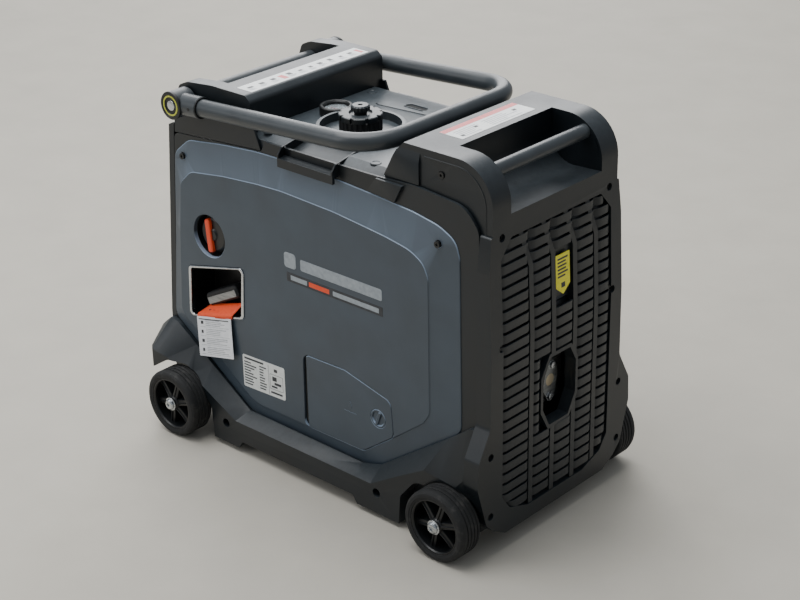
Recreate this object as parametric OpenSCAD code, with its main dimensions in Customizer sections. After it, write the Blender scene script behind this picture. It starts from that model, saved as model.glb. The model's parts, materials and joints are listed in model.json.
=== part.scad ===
// Suitcase inverter generator on four wheels, with a fold-over transport handle.
// X runs from the control panel end (-X) to the exhaust end (+X), Z is up and
// the floor is Z = 0. The recoil starter side is -Y. All sizes are millimetres.

/* [Overall] */
// Length over the base, nose to exhaust face
body_len = 650; // [640:1:660]
// Width over the base skirts
skirt_w = 332; // [328:1:336]
// Height of the rear handle tower
tower_h = 558; // [552:1:562]

/* [Wheels] */
// Wheel radius
wheel_r = 52.5; // [50:0.5:54]
// Width of a wheel
wheel_w = 40; // [36:1:42]
// Centre line of the front axle bolts, from the middle of the body
front_axle_x = -260; // [-264:1:-256]
// Centre line of the rear axle bolts, from the middle of the body
rear_axle_x = 270; // [266:1:272]
// Outer face of the wheels, from the middle of the body
wheel_face_y = 196; // [194:0.5:198]
// Radius of an axle bolt's shank
axle_r = 5; // [4:0.5:6]

/* [Transport handle] */
// Radius of the handle tube
tube_r = 12.7; // [12:0.1:13]
// Half the width between the handle's tube centres
handle_half_w = 152.6; // [152:0.1:154]
// Reach of the handle from its pivot to the cross tube
handle_reach = 372; // [360:1:374]
// Slope of the folded handle
handle_slope = 3.3; // [3:0.1:4]
// Inner bend radius at the handle's corners, to the tube centre
handle_bend = 58; // [50:1:64]
// Pivot of the handle, X
pivot_x = -238; // [-240:1:-236]
// Pivot of the handle, Z
pivot_z = 527; // [526:1:529]

/* [Side panels] */
// Outer face of the coloured side panels, from the middle
panel_y = 142; // [141.5:0.5:143]
// Thickness of the coloured side panels
panel_t = 6; // [5:0.5:6]
// Wall thickness of the black casing
wall = 3.5; // [3:0.1:4]

/* [Controls] */
// Radius of the round recess of the engine dial
dial_recess_r = 33; // [30:0.5:34]
// Travel of the recoil grip, before its cord ends
grip_pull = 160; // [120:5:160]
// Travel of the push buttons
button_travel = 3; // [2:0.5:4]

/* [Exhaust grille] */
// Number of louvre slats
slat_count = 25; // [20:1:26]
// Pitch of the louvre slats
slat_pitch = 16; // [15.6:0.1:16.2]
// Width of a vertical rib
rib_w = 9; // [7:0.5:11]
// Spacing of the vertical ribs
rib_pitch = 46.5; // [45:0.5:47]

/* [Hidden] */
$fn = 48;

// Colours of the finishes
c_panel = "#3b444e";
c_black = "#23272b";
c_tube = "#3a3f44";
c_rubber = "#1a1b1c";
c_steel = "#b9bcc0";
c_orange = "#e8451c";
c_alu = "#9da1a5";

half_len = body_len / 2;
end_x = half_len;
nose_x = -half_len;
near = -1;
far = 1;
frame_y = panel_y - panel_t;
inner_y = frame_y - 4;
wheel_inner_y = wheel_face_y - wheel_w;
wheel_gap = 2;
fit = 0.05;
gap = 0.8;

// Front face: upright up to lean_z, then leaning back towards the top
front_x = -311;
lean_z = 175;
lean_top_x = -288;
lean_top_z = 450;
lean_deg = atan((lean_top_x - front_x) / (lean_top_z - lean_z));
front_depth = 12;

// Exhaust end face: upright up to face_z, then leaning in towards the top
face_z = 305;
face_top_x = 318;
face_top_z = 470;
end_depth = 25;
tower_r = 58;
tower_cx = face_top_x - tower_r;
tower_cz = tower_h - tower_r;
tower_half_w = 131;
tower_x = 158;
tower_foot_x = 136;
step_x = 198;

// Deck between the front housing and the tower
deck_z = 508;
deck_x0 = -112;
deck_half_w = 131.5;

// Filler, gauge and access cover on the deck
filler_x = 5;
filler_y = -37;
collar_r = 62;
collar_h = 12;
cap_r = 31;
gauge_x = -72;
gauge_y = -6;
gauge_r = 24;

// Grab bar in the tower's recess
grab_x = 287.5;
grab_z = 537;
grab_r = 10;
recess_half_w = 95;
recess_x = 233;
recess_z = 485;
recess_r = 38;

// Dial and recoil window on the starter side
dial_x = -206;
dial_z = 327;
window = [[-253, 266], [-137, 295], [-143, 214], [-258, 185]];
crank_z = 185;
pulley_r = 52;
cord_z = crank_z + pulley_r;
cord_x = -189;
pocket_depth = 48;

// Oil access cover on the starter side
oil_outline = [[-21, 197], [61, 199], [148, 178], [152, 124], [93, 80], [-23, 79]];
oil_knob_x = 123;
oil_knob_z = 143;
oil_knob_r = 14;
oil_hinge_x = -19;

// Side panel outline, seen from the starter side
panel_outline = [[-275, 440], [-243, 466], [-170, 476], [-100, 482], [-40, 483],
    [55, 480], [131, 475], [190, 470], [235, 462], [262, 448], [269, 425], [271, 176],
    [255, 157], [128, 67], [94, 58], [-138, 58], [-300, 172], [-284, 330]];
panel_radii = [26, 30, 200, 300, 300, 300, 300, 200, 80, 30, 30, 18, 20, 40, 40, 60,
    20, 300];

// Base skirt: upper edge, crease and lower edge as heights along X
skirt_y = skirt_w / 2;
skirt_top = [[-325, 149], [-311, 162], [-300, 170], [-138, 64], [94, 62], [128, 72], [255, 162],
    [290, 188], [325, 196]];
skirt_crease = [[-325, 122], [-311, 120], [-288, 113], [-215, 86], [-147, 52], [128, 52],
    [180, 84], [228, 112], [284, 107], [306, 132], [325, 186]];
skirt_out = [[-325, 169], [-318, 175], [-305, 175], [-288, 171], [-215, 166], [228, 166], [284, 166],
    [306, 160], [325, 148]];
skirt_x = [-325, -318, -305, -288, -250, -215, -175, -147, -138, -60, 20, 94, 128, 154, 180,
    204, 228, 255, 284, 290, 306, 325];
skirt_low = 20;

// Points of a corner-rounded outline: each corner becomes an arc of its own radius
function unit(v) = v / norm(v);
function corner(p, q, r, radius, steps) =
    let(a = unit(p - q), b = unit(r - q), half = acos(a * b) / 2,
        run = min(radius / tan(half), norm(p - q) * 0.48, norm(r - q) * 0.48),
        rad = run * tan(half), mid = q + unit(a + b) * rad / sin(half),
        start = q + a * run - mid, stop = q + b * run - mid)
    [for (i = [0:steps]) mid + rad * unit(start * (steps - i) + stop * i)];
function rounded(points, radii, steps = 4) =
    let(n = len(points))
    [for (i = [0:n - 1])
        each corner(points[(i + n - 1) % n], points[i], points[(i + 1) % n],
            is_list(radii) ? radii[i] : radii, steps)];
function arc(cx, cz, r, a0, a1, steps = 12) =
    [for (i = [0:steps]) let(a = a0 + (a1 - a0) * i / steps)
        [cx + r * cos(a), cz + r * sin(a)]];

// Extrusions of outlines drawn in the X-Z and Y-Z planes
module prism_y(y0, y1) {
    translate([0, max(y0, y1), 0])
        rotate([90, 0, 0])
            linear_extrude(abs(y1 - y0)) children();
}
module prism_x(x0, x1) {
    translate([min(x0, x1), 0, 0])
        rotate([90, 0, 90])
            linear_extrude(abs(x1 - x0)) children();
}
module rod_x(r, x0, x1, y, z) {
    translate([x0, y, z])
        rotate([0, 90, 0])
            cylinder(r = r, h = x1 - x0);
}
module rod_y(r, y0, y1, x, z) {
    translate([x, max(y0, y1), z])
        rotate([90, 0, 0])
            cylinder(r = r, h = abs(y1 - y0));
}
module rod_z(r, z0, z1, x, y) {
    translate([x, y, z0])
        cylinder(r = r, h = z1 - z0);
}
module box(x0, x1, y0, y1, z0, z1) {
    translate([x0, y0, z0])
        cube([x1 - x0, y1 - y0, z1 - z0]);
}

// X of the leaning front face at a height
function front_at(z) = z < lean_z ? front_x
    : front_x + (z - lean_z) * tan(lean_deg);

// ---------------------------------------------------------------- base
module base_tray() color(c_black) {
    floor_z = 27;
    rim_z = 60;
    difference() {
        union() {
            difference() {
                box(front_x + front_depth + 1, end_x - end_depth, -inner_y, inner_y,
                    floor_z, rim_z);
                box(front_x + front_depth + 5, end_x - end_depth - 4, -inner_y + 4,
                    inner_y - 4, floor_z + wall, rim_z + 1);
            }
            for (x = [front_axle_x, rear_axle_x - 4])
                for (side = [near, far])
                    translate([x, side * (inner_y - 12), (floor_z + rim_z + 10) / 2])
                        cube([44, 24, rim_z + 10 - floor_z], center = true);
        }
        for (x = [front_axle_x, rear_axle_x])
            for (side = [near, far])
                rod_y(axle_r + fit, side * (inner_y - 26), side * (inner_y + 1), x, wheel_r);
        for (i = [-5:5])
            for (j = [-1, 1])
                translate([i * 40, j * 32, floor_z])
                    cube([26, 5, 12], center = true);
    }
}

// Skirt solid of one side: a loft whose section is cut by the crease line
module skirt_loft() {
    n = len(skirt_x);
    points = [for (x = skirt_x)
        each [[x, -frame_y, lookup(x, skirt_top)],
            [x, -panel_y - 1.5, lookup(x, skirt_top)],
            [x, -lookup(x, skirt_out), lookup(x, skirt_crease)],
            [x, -lookup(x, skirt_out), 8],
            [x, -frame_y, 8]]];
    sides = [for (i = [0:n - 2])
        for (k = [0:4])
            let(a = 5 * i + k, b = 5 * i + (k + 1) % 5)
            each [[a, b, a + 5], [b, b + 5, a + 5]]];
    caps = [[0, 1, 2, 3, 4], [for (k = [4:-1:0]) 5 * (n - 1) + k]];
    polyhedron(points = points, faces = concat(sides, caps));
}
module skirt_body() {
    arch_top = 88;
    difference() {
        union() {
            skirt_loft();
            prism_y(-panel_y, -100)
                polygon([[nose_x, 90], [nose_x, 148], [front_x, 162], [front_x, 90]]);
        }
        prism_y(-200, -panel_y + 20)
            polygon(rounded([[-400, 0], [-400, 90], [-316, 91], [-290, arch_top + 22],
                [-250, arch_top + 22], [-199, 60], [-196, 0]],
                [1, 1, 8, 25, 25, 20, 1]));
        prism_y(-200, -panel_y + 20)
            polygon(rounded([[180, 0], [184, 54], [212, arch_top], [290, arch_top + 1],
                [340, arch_top + 6], [340, 0]], [1, 14, 24, 20, 1, 1]));
        prism_y(-200, -100)
            polygon([[-150, 0], [-134, skirt_low], [92, skirt_low], [106, 0]]);
        prism_y(-panel_y - 0.4, -100)
            polygon(rounded(grown(panel_outline, [0, 270], 1), panel_radii));
        for (x = [-168, 139])
            rod_y(7, -200, -panel_y - 12, x, 41);
        for (x = [front_axle_x, rear_axle_x])
            rod_y(wheel_r + wheel_gap, -200, -wheel_inner_y + 5, x, wheel_r);
        box(end_x - end_depth - 0.3, end_x + 1, -200, -100, 0, 220);
    }
}
module skirt_near() color(c_black)
    skirt_body();
module skirt_far() color(c_black)
    mirror([0, 1, 0]) skirt_body();

// ------------------------------------------------------------ side walls
// Black side wall behind a coloured panel, with a shoulder along its top
module side_frame_plate() difference() {
    edge = front_depth + 0.4;
    outline = [[front_x + edge, 45], [end_x - end_depth - 0.3, 45],
        [end_x - end_depth - 0.3, 470], [278, 498], [190, 506], [128, 502],
        [-84, 500], [-92, 484], [front_at(470) + edge, 470],
        [front_at(lean_z) + edge, lean_z]];
    union() {
        prism_y(-frame_y, -inner_y)
            polygon(rounded(outline, [4, 2, 22, 60, 60, 20, 3, 3, 10, 10]));
        prism_y(-panel_y + 1, -frame_y + 1)
            polygon([[113, 481], [128, 501], [174, 501], [160, 475]]);
    }
    for (x = [front_axle_x, rear_axle_x])
        rod_y(axle_r + 0.3, -200, -100, x, wheel_r);
}
module side_opening(x0, x1, z0, z1) {
    prism_y(-200, -100)
        polygon(rounded([[x0, z0], [x1, z0], [x1, z1], [x0, z1]], 18));
}
module side_frame_near() color(c_black) difference() {
    side_frame_plate();
    prism_y(-200, -100)
        polygon(rounded([for (p = window) p + 10 * unit(p - [-198, 240])], 10));
    rod_y(dial_recess_r + 4, -200, -100, dial_x, dial_z);
    side_opening(-10, 142, 92, 172);
    side_opening(-100, 240, 250, 440);
}
module side_frame_far() color(c_black) mirror([0, 1, 0]) difference() {
    side_frame_plate();
    side_opening(-240, -40, 120, 420);
    side_opening(10, 230, 120, 420);
}

module panel_shell() {
    difference() {
        prism_y(-panel_y, -frame_y)
            polygon(rounded(panel_outline, panel_radii));
        prism_y(-frame_y - panel_t + wall, -frame_y + 1)
            polygon(rounded([for (p = panel_outline) p * 0.955 + [-1, 12]],
                panel_radii));
    }
}
module side_panel_near() color(c_panel) difference() {
    union() {
        panel_shell();
        prism_y(-panel_y + 1, -frame_y)
            polygon(rounded([for (p = oil_outline) p + 7 * unit(p - [60, 140])], 12));
    }
    rod_y(dial_recess_r, -200, -100, dial_x, dial_z);
    prism_y(-200, -100)
        polygon(rounded([for (p = window) p + 3 * unit(p - [-198, 240])], 8));
    prism_y(-200, -panel_y + 3.6)
        polygon(rounded(oil_outline, 12));
    prism_y(-200, -100)
        polygon(rounded([for (p = oil_outline) p - 8 * unit(p - [60, 140])], 8));
    for (p = [[-255, 439], [234, 437]])
        rod_y(5, -200, -frame_y - 3, p[0], p[1]);
}
module side_panel_far() color(c_panel) mirror([0, 1, 0]) difference() {
    panel_shell();
    for (i = [0:6])
        for (j = [0:5])
            translate([-190 + i * 26, -panel_y, 250 + j * 20])
                cube([18, 20, 7], center = true);
    for (p = [[-255, 439], [234, 437]])
        rod_y(5, -200, -frame_y - 3, p[0], p[1]);
}

// --------------------------------------------------------------- rear end
function tower_profile(t) = concat(
    [[tower_x + t, 432], [tower_foot_x + t, 504], [tower_x + t, 546 - t],
        [tower_x + 12 + t, tower_h - t]],
    arc(tower_cx, tower_cz, tower_r - t, 90, 0, 16),
    [[face_top_x - t, face_top_z], [face_top_x + 1.5 - t, 432]]);
recess_profile = concat([[recess_x, tower_h + 20], [recess_x, recess_z + recess_r]],
    arc(recess_x + recess_r, recess_z + recess_r, recess_r, 180, 270, 8),
    [[end_x + 20, recess_z + 4], [end_x + 20, tower_h + 20]]);
recess_liner = concat([[recess_x - wall, tower_h - 2],
        [recess_x - wall, recess_z + recess_r]],
    arc(recess_x + recess_r, recess_z + recess_r, recess_r + wall, 180, 270, 8),
    [[face_top_x - 2, recess_z - wall + 3], [face_top_x - 2, recess_z + 20],
        [recess_x + 60, tower_h - 2]]);
end_outline = rounded([[-139.5, 418], [-134.5, 466], [134.5, 466], [139.5, 418],
    [142, 200], [166, 156], [168, 118], [150, 56], [134, 40], [110, 26], [-110, 26],
    [-134, 40], [-150, 56], [-168, 118], [-166, 156], [-142, 200]],
    [20, 3, 3, 20, 20, 14, 16, 10, 6, 10, 10, 6, 10, 16, 14, 20]);
grille_outline = [[-116, 430], [-94, 456], [94, 456], [116, 430], [116, 84], [100, 62],
    [60, 48], [-60, 48], [-100, 62], [-116, 84]];
end_screws = [[113, 460, face_top_x + 1], [119, 309, end_x], [141, 157, end_x],
    [141, 66, end_x]];
module lean_cut() {
    prism_y(-200, 200)
        polygon([[end_x, face_z], [face_top_x, face_top_z], [face_top_x, 600],
            [end_x + 60, 600], [end_x + 60, face_z]]);
}
// Chamfered block where the tower's cheek meets the deck
module tower_step(side) intersection() {
    prism_x(tower_foot_x, step_x)
        polygon([[side * 120, 507], [side * 134.5, 507], [side * 134.5, 536],
            [side * 130.5, 552], [side * 120, 552]]);
    prism_y(-tower_half_w - 6, tower_half_w + 6)
        polygon(tower_profile(0));
}
module rear_frame() color(c_black) difference() {
    union() {
        difference() {
            prism_y(-tower_half_w, tower_half_w)
                polygon(tower_profile(0));
            prism_y(-tower_half_w + wall, tower_half_w - wall)
                polygon(tower_profile(wall));
            box(tower_x - 40, end_x, -tower_half_w + wall, tower_half_w - wall,
                400, 440);
        }
        intersection() {
            prism_y(-recess_half_w - wall, recess_half_w + wall)
                polygon(recess_liner);
            prism_y(-tower_half_w, tower_half_w)
                polygon(tower_profile(0));
        }
        difference() {
            prism_x(end_x - end_depth, end_x)
                polygon(end_outline);
            box(end_x - end_depth - 1, face_top_x - wall, -tower_half_w, tower_half_w,
                60, 500);
        }
        for (side = [near, far])
            tower_step(side);
        prism_x(face_top_x - wall, end_x)
            polygon([[-tower_half_w, 430], [tower_half_w, 430],
                [tower_half_w, 490], [-tower_half_w, 490]]);
    }
    lean_cut();
    prism_y(-recess_half_w, recess_half_w)
        polygon(recess_profile);
    prism_x(end_x - 60, end_x + 10)
        polygon(rounded([for (p = grille_outline) [p[0] * 1.005, p[1]]], 6));
    for (side = [near, far])
        rod_y(grab_r, side * (recess_half_w - 1), side * (recess_half_w + 16),
            grab_x, grab_z);
    for (s = end_screws)
        for (side = [near, far])
            rod_x(5.5, s[2] - 8, s[2] + 10, side * s[0], s[1]);
    for (side = [near, far]) {
        rod_y(5.5, side * (tower_half_w - 1.5), side * 200, 234, 529);
        rod_y(wheel_r + wheel_gap, side * (wheel_inner_y - 5), side * 200,
            rear_axle_x, wheel_r);
    }
}
module grab_bar() color(c_tube)
    rod_y(grab_r, -recess_half_w - 12, recess_half_w + 12, grab_x, grab_z);

// Louvred outlet grille: sloping slats between raised vertical ribs
exhaust_outline = [[-15, 255], [28, 255], [41, 231], [41, 182], [25, 153], [-16, 153],
    [-30, 181], [-30, 226]];
rib_y0 = -55.5;
module slat_rows() {
    for (i = [0:slat_count - 1])
        let(z = 56 + i * slat_pitch)
        prism_y(-114, 114)
            polygon([[end_x - 19, z + 1], [end_x - 12, z - 1], [end_x - 10.5, z + 2],
                [end_x - 17.5, z + slat_pitch - 1], [end_x - 19, z + slat_pitch - 1]]);
}
module ribs() {
    for (i = [0:3])
        let(y = rib_y0 + i * rib_pitch)
        prism_x(end_x - 20, end_x - 1)
            polygon([[y - rib_w / 2, 47], [y + rib_w / 2, 47], [y + rib_w / 2, 404],
                [y + rib_w / 2 - 20, 457], [y - rib_w / 2 - 20, 457],
                [y - rib_w / 2, 404]]);
}
module exhaust_grille() color(c_black) difference() {
    intersection() {
        union() {
            slat_rows();
            ribs();
            prism_x(end_x - 20, end_x - 1)
                polygon(rounded([for (p = exhaust_outline)
                    p + 6 * unit(p - [5, 204])], 4));
            prism_x(end_x - 20, end_x - 10)
                polygon([[-9, 335], [33, 335], [33, 408], [-9, 408]]);
            difference() {
                prism_x(end_x - 24, end_x - 17)
                    polygon([for (p = grille_outline) p + 3 * unit(p - [0, 250])]);
                prism_x(end_x - 30, end_x)
                    polygon([for (p = grille_outline) p - 4 * unit(p - [0, 250])]);
            }
        }
        prism_x(end_x - 40, end_x)
            polygon([for (p = grille_outline) p - 0.4 * unit(p - [0, 250])]);
        prism_y(-140, 140)
            polygon([[end_x - 40, 20], [end_x - 1, 20], [end_x - 1, face_z],
                [face_top_x - 1, face_top_z], [end_x - 40, face_top_z]]);
    }
    prism_x(end_x - 60, end_x + 10)
        polygon(rounded(exhaust_outline, 3));
}

// --------------------------------------------------------------- top parts
module top_cover() color(c_black) difference() {
    union() {
        prism_x(deck_x0 + 0.3, tower_foot_x - 1)
            polygon([[-deck_half_w, 486], [-deck_half_w, 499], [-116, deck_z],
                [116, deck_z], [deck_half_w, 499], [deck_half_w, 486],
                [deck_half_w - wall, 486], [deck_half_w - wall, 497],
                [114, deck_z - wall], [-114, deck_z - wall],
                [-deck_half_w + wall, 497], [-deck_half_w + wall, 486]]);
        rod_z(collar_r, deck_z - wall, deck_z + collar_h, filler_x, filler_y);
    }
    rod_z(collar_r - 5, deck_z, deck_z + 40, filler_x, filler_y);
    rod_z(25, deck_z - 20, deck_z + 40, filler_x, filler_y);
    translate([0, 0, deck_z - 1.6])
        linear_extrude(20)
            polygon(rounded(spark_outline, 8));
    translate([0, 0, deck_z - 20])
        linear_extrude(40)
            polygon([for (p = spark_outline) p - 6 * unit(p - [7, 88])]);
    rod_z(gauge_r - 3, deck_z - 20, deck_z + 40, gauge_x, gauge_y);
    rod_z(gauge_r + 0.4, deck_z, deck_z + 40, gauge_x, gauge_y);
    box(-48, 58, -200, -80, deck_z - 40, deck_z + 30);
}
spark_outline = [[-64, 58], [80, 74], [80, 116], [-46, 116]];
module spark_plug_cover() color(c_black) difference() {
    translate([0, 0, deck_z - 1.4])
        linear_extrude(2.4)
            polygon(rounded([for (p = spark_outline) p - 0.8 * unit(p - [7, 88])], 8));
    translate([0, 84, deck_z])
        cylinder(r = 13, h = 10, $fn = 6);
}

// Tray that leads a spill from the filler over the side
module spill_chute() color(c_black) {
    x0 = -47.5;
    x1 = 57.5;
    floor_t = 2.5;
    difference() {
        prism_x(x0, x1)
            polygon([[-149, 476], [-149, 494], [-141, 503], [-88, 512], [-80.5, 512],
                [-80.5, 494], [-131.8, 487], [-137, 484.5], [-144.5, 484.5],
                [-144.5, 476]]);
        prism_x(x0 + 3, x1 - 3)
            polygon([[-160, 489], [-144, 489], [-85, 501], [-85, 520], [-160, 520]]);
        box(x0 - 1, x1 + 1, -frame_y - 0.2, -inner_y + 0.3, 470, 502.5);
        box(x0 - 1, x1 + 1, -panel_y - 0.3, -frame_y + 0.2, 470, 484.2);
    }
}

module fuel_gauge() color(c_black) difference() {
    union() {
        rod_z(gauge_r, deck_z, deck_z + 14, gauge_x, gauge_y);
        rod_z(gauge_r - 3.4, deck_z - 8, deck_z + 1, gauge_x, gauge_y);
    }
    rod_z(gauge_r - 7, deck_z + 4, deck_z + 20, gauge_x, gauge_y);
    rod_z(5, deck_z - 20, deck_z + 20, gauge_x, gauge_y);
}
module gauge_lens() color("#dfe6ea", 0.6)
    rod_z(gauge_r - 7.1, deck_z + 6, deck_z + 8.5, gauge_x, gauge_y);

module fuel_cap() color(c_rubber) difference() {
    lugs = 24;
    cap_z0 = deck_z + 2;
    cap_z1 = deck_z + 28;
    union() {
        rod_z(cap_r - 1.5, cap_z0, cap_z1, filler_x, filler_y);
        for (i = [0:lugs - 1])
            translate([filler_x, filler_y, cap_z0])
                rotate([0, 0, i * 360 / lugs])
                    translate([cap_r - 3, -2, 0])
                        cube([3, 4, cap_z1 - cap_z0 - 1]);
    }
    rod_z(24, cap_z0 - 1, cap_z0 + 14, filler_x, filler_y);
    rod_z(13, cap_z1 - 2, cap_z1 + 5, filler_x, filler_y);
    rod_z(4.05, cap_z0, cap_z1 + 5, filler_x, filler_y);
}
module vent_knob() color(c_rubber) {
    base_z = deck_z + 26.1;
    rod_z(4, base_z - 8, base_z + 1, filler_x, filler_y);
    rod_z(9, base_z, base_z + 6, filler_x, filler_y);
    difference() {
        rod_z(13, base_z + 5, base_z + 13, filler_x, filler_y);
        rod_z(3, base_z + 11, base_z + 20, filler_x, filler_y);
    }
}

// Raised housing across the front, with two arms that carry the pivot tube
arm_y = 112;
module front_housing() color(c_black) difference() {
    union() {
        difference() {
            prism_y(-128, 128)
                polygon(rounded([[-196, 500], [-192, 548], [-180, 558], [-122, 558],
                    [deck_x0, 550], [deck_x0, 486], [-196, 486]],
                    [1, 10, 10, 8, 8, 1, 1]));
            prism_y(-124, 124)
                polygon([[-192, 480], [-188, 550], [-116, 550], [-116, 480]]);
        }
        hand_floor();
        for (side = [near, far]) {
            prism_y(side * arm_y, side * 134)
                polygon(rounded([[front_at(500) + 14, 486], [-264, 530], [-258, 545],
                    [-240, 553], [-190, 558], [-122, 558], [deck_x0, 550],
                    [deck_x0, 486]], [4, 10, 12, 30, 60, 8, 8, 1]));
            prism_y(side * 131.8, side * (frame_y - 0.6))
                polygon([[front_at(471) + 13, 471], [front_at(500) + 13, 514],
                    [-106, 514], [-94, 484.8]]);
        }
    }
    rod_y(tube_r, -200, 200, pivot_x, pivot_z);
    for (side = [near, far])
        prism_y(side * (arm_y + 4), side * (frame_y - 6))
            polygon([[-206, 480], [-206, 545], [-118, 545], [-118, 480]]);
    for (side = [near, far])
        prism_y(side * (arm_y + 4), side * 128)
            polygon([[-258, 480], [-258, 505], [-206, 505], [-206, 480]]);
}
// Floor of the hand opening between the two arms
module hand_floor() {
    prism_y(-arm_y, arm_y)
        polygon([[front_at(486) + 13, 486], [-190, 486], [-190, 496],
            [-206, 490], [front_at(490) + 13, 490]]);
}
module pivot_tube() color(c_tube) difference() {
    rod_y(tube_r - fit, -165, 165, pivot_x, pivot_z);
    rod_y(tube_r - 2, -170, 170, pivot_x, pivot_z);
}

// ------------------------------------------------------- transport handle
module in_handle_plane() {
    translate([pivot_x, 0, pivot_z])
        rotate([0, -handle_slope, 0]) children();
}
module handle_tube() color(c_tube) in_handle_plane() {
    start = 24;
    leg = handle_reach - handle_bend - start;
    cross = 2 * (handle_half_w - handle_bend);
    difference() {
        union() {
            for (side = [near, far]) {
                rod_x(tube_r, start, start + leg, side * handle_half_w, 0);
                translate([handle_reach - handle_bend,
                        side * (handle_half_w - handle_bend), 0])
                    rotate([0, 0, side > 0 ? 0 : -90])
                        rotate_extrude(angle = 90)
                            translate([handle_bend, 0])
                                circle(r = tube_r);
            }
            rod_y(tube_r, -cross / 2, cross / 2, handle_reach, 0);
        }
        for (side = [near, far])
            rod_x(tube_r - 2, start - 1, start + leg - 5, side * handle_half_w, 0);
    }
}
module handle_tees() color(c_tube) in_handle_plane()
    for (side = [near, far])
        difference() {
            union() {
                rod_y(20, side * 136.5, side * 166, 0, 0);
                rod_x(16.5, 8, 48, side * handle_half_w, 0);
            }
            rod_y(tube_r, side * 130, side * 170, 0, 0);
            rod_x(tube_r + fit, 23.5, 60, side * handle_half_w, 0);
            rod_y(3, side * 160, side * 175, 36, 0);
            rod_y(21, side * 166, side * 180, 0, 0);
        }
module tee_caps() color(c_rubber) in_handle_plane()
    for (side = [near, far])
        difference() {
            rod_y(20.5, side * 166, side * 170, 0, 0);
            rod_y(12, side * 168.5, side * 172, 0, 0);
        }

// --------------------------------------------------------------- front end
module front_profile(inset) {
    polygon([[front_x + inset, 62 + inset], [front_x + inset, lean_z],
        [front_at(480) + inset, 480], [front_at(480) + 10 + inset, 485 - inset],
        [front_at(480) + front_depth, 485 - inset], [front_x + front_depth, lean_z],
        [front_x + front_depth, 62 + inset]]);
}
module front_cover() color(c_black) difference() {
    prism_y(-frame_y, frame_y)
        front_profile(0);
    at_front() {
        box(-30, 30, -106, 106, 60, 286);
        box(4, 30, -112, 112, 54, 292);
    }
    for (i = [0:7])
        box(-400, -200, -84, 84, 84 + i * 14, 91 + i * 14);
}
// Frame whose Z runs up the leaning front face, with its origin at lean_z
module at_front() {
    translate([front_x, 0, lean_z])
        rotate([0, lean_deg, 0]) children();
}
socket_y = [-58, 12];
socket_z = 112;
flap_hinge_z = socket_z + 34.8;
module control_panel() color("#2b2f33") at_front() difference() {
    union() {
        box(3, 6, -105.5, 105.5, 60.5, 285.5);
        box(6, 9, -111.5, 111.5, 54.5, 291.5);
    }
    box(-1, 4.5, -88, 88, 232, 272);
    for (y = socket_y)
        box(-1, 20, y - 22, y + 22, socket_z - 34, socket_z + 34);
    rod_x(9 + 0.3, -1, 20, 72, 134);
    rod_x(7 + 0.3, -1, 20, 72, 98);
    box(-1, 20, 58.5, 85.5, 170, 192);
    for (y = [-70, -42, -14])
        rod_x(9, -1, 20, y, 186);
    rod_x(4, -1, 20, 30, 186);
}
module display() color("#12161a") at_front()
    box(2.5, 4.5, -87.5, 87.5, 232.5, 271.5);
// Two duplex outlets, three round sockets and the earth terminal
module outlets() color(c_rubber) at_front() {
    for (y = socket_y)
        difference() {
            box(2, 12, y - 21.7, y + 21.7, socket_z - 33.7, socket_z + 33.7);
            for (dz = [-17, 17])
                for (dy = [-6, 6])
                    translate([2, y + dy, socket_z + dz])
                        cube([14, 2.4, 8], center = true);
        }
    for (y = [-70, -42, -14])
        difference() {
            rod_x(8.7, 0, 12, y, 186);
            rod_x(5.5, -1, 2, y, 186);
        }
    rod_x(3.7, -6, 12, 30, 186);
}
module outlet_flap(y) {
    difference() {
        union() {
            box(-1.5, 0.9, y - 24, y + 24, socket_z - 36, flap_hinge_z);
            rod_y(1.2, y - 24, y + 24, -0.3, flap_hinge_z);
        }
        box(-2.5, -0.9, y - 15, y + 15, socket_z - 28, socket_z - 22);
    }
}
module outlet_flap_left() color("#30343a") at_front()
    outlet_flap(socket_y[0]);
module outlet_flap_right() color("#30343a") at_front()
    outlet_flap(socket_y[1]);
module eco_rocker() color(c_rubber) at_front() {
    prism_y(60.4, 83.6)
        polygon([[3, 172.4], [0, 173], [1, 181], [-1.5, 189], [3, 189.6], [10, 184],
            [10, 178]]);
    rod_y(2, 59, 85, 6.5, 181);
}
module start_button() color(c_orange) at_front() {
    rod_x(9, -2, 8, 72, 134);
    rod_x(11, 9.5 + button_travel, 11.5 + button_travel, 72, 134);
    rod_x(4, 7, 12 + button_travel, 72, 134);
}
module breaker_button() color("#d8d8d4") at_front() {
    rod_x(7, -1, 8, 72, 98);
    rod_x(9, 9.5 + button_travel, 11.5 + button_travel, 72, 98);
    rod_x(3, 7, 12 + button_travel, 72, 98);
}

// ----------------------------------------------------- starter side details
function grown(points, mid, d) = [for (p = points) p + d * unit(p - mid)];
window_mid = [-198, 240];
card_lean = 4;
// Black moulding behind the panel: the dial's cup and the recoil grip's well
module starter_pocket() color(c_black) difference() {
    union() {
        rod_y(dial_recess_r + 3, -frame_y, -frame_y + 20, dial_x, dial_z);
        prism_y(-frame_y, -frame_y + pocket_depth)
            polygon(rounded(grown(window, window_mid, 8), 8));
    }
    rod_y(dial_recess_r - 0.5, -200, -frame_y + 17, dial_x, dial_z);
    rod_y(4 + fit, -200, 0, dial_x, dial_z);
    prism_y(-200, -frame_y + pocket_depth - 3)
        polygon(rounded(grown(window, window_mid, 2.5), 6));
    rod_y(5, -200, 0, cord_x, cord_z);
}
module engine_dial() color(c_orange) {
    rod_y(4, -frame_y - 2, -frame_y + 26, dial_x, dial_z);
    rod_y(26, -frame_y + 2, -frame_y + 12, dial_x, dial_z);
    translate([dial_x, 0, dial_z])
        rotate([0, 8, 0])
            prism_y(-frame_y - 4, -frame_y + 4)
                polygon(rounded([[-5.5, -27], [5.5, -27], [7, 27], [-7, 27]], 4));
}
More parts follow.
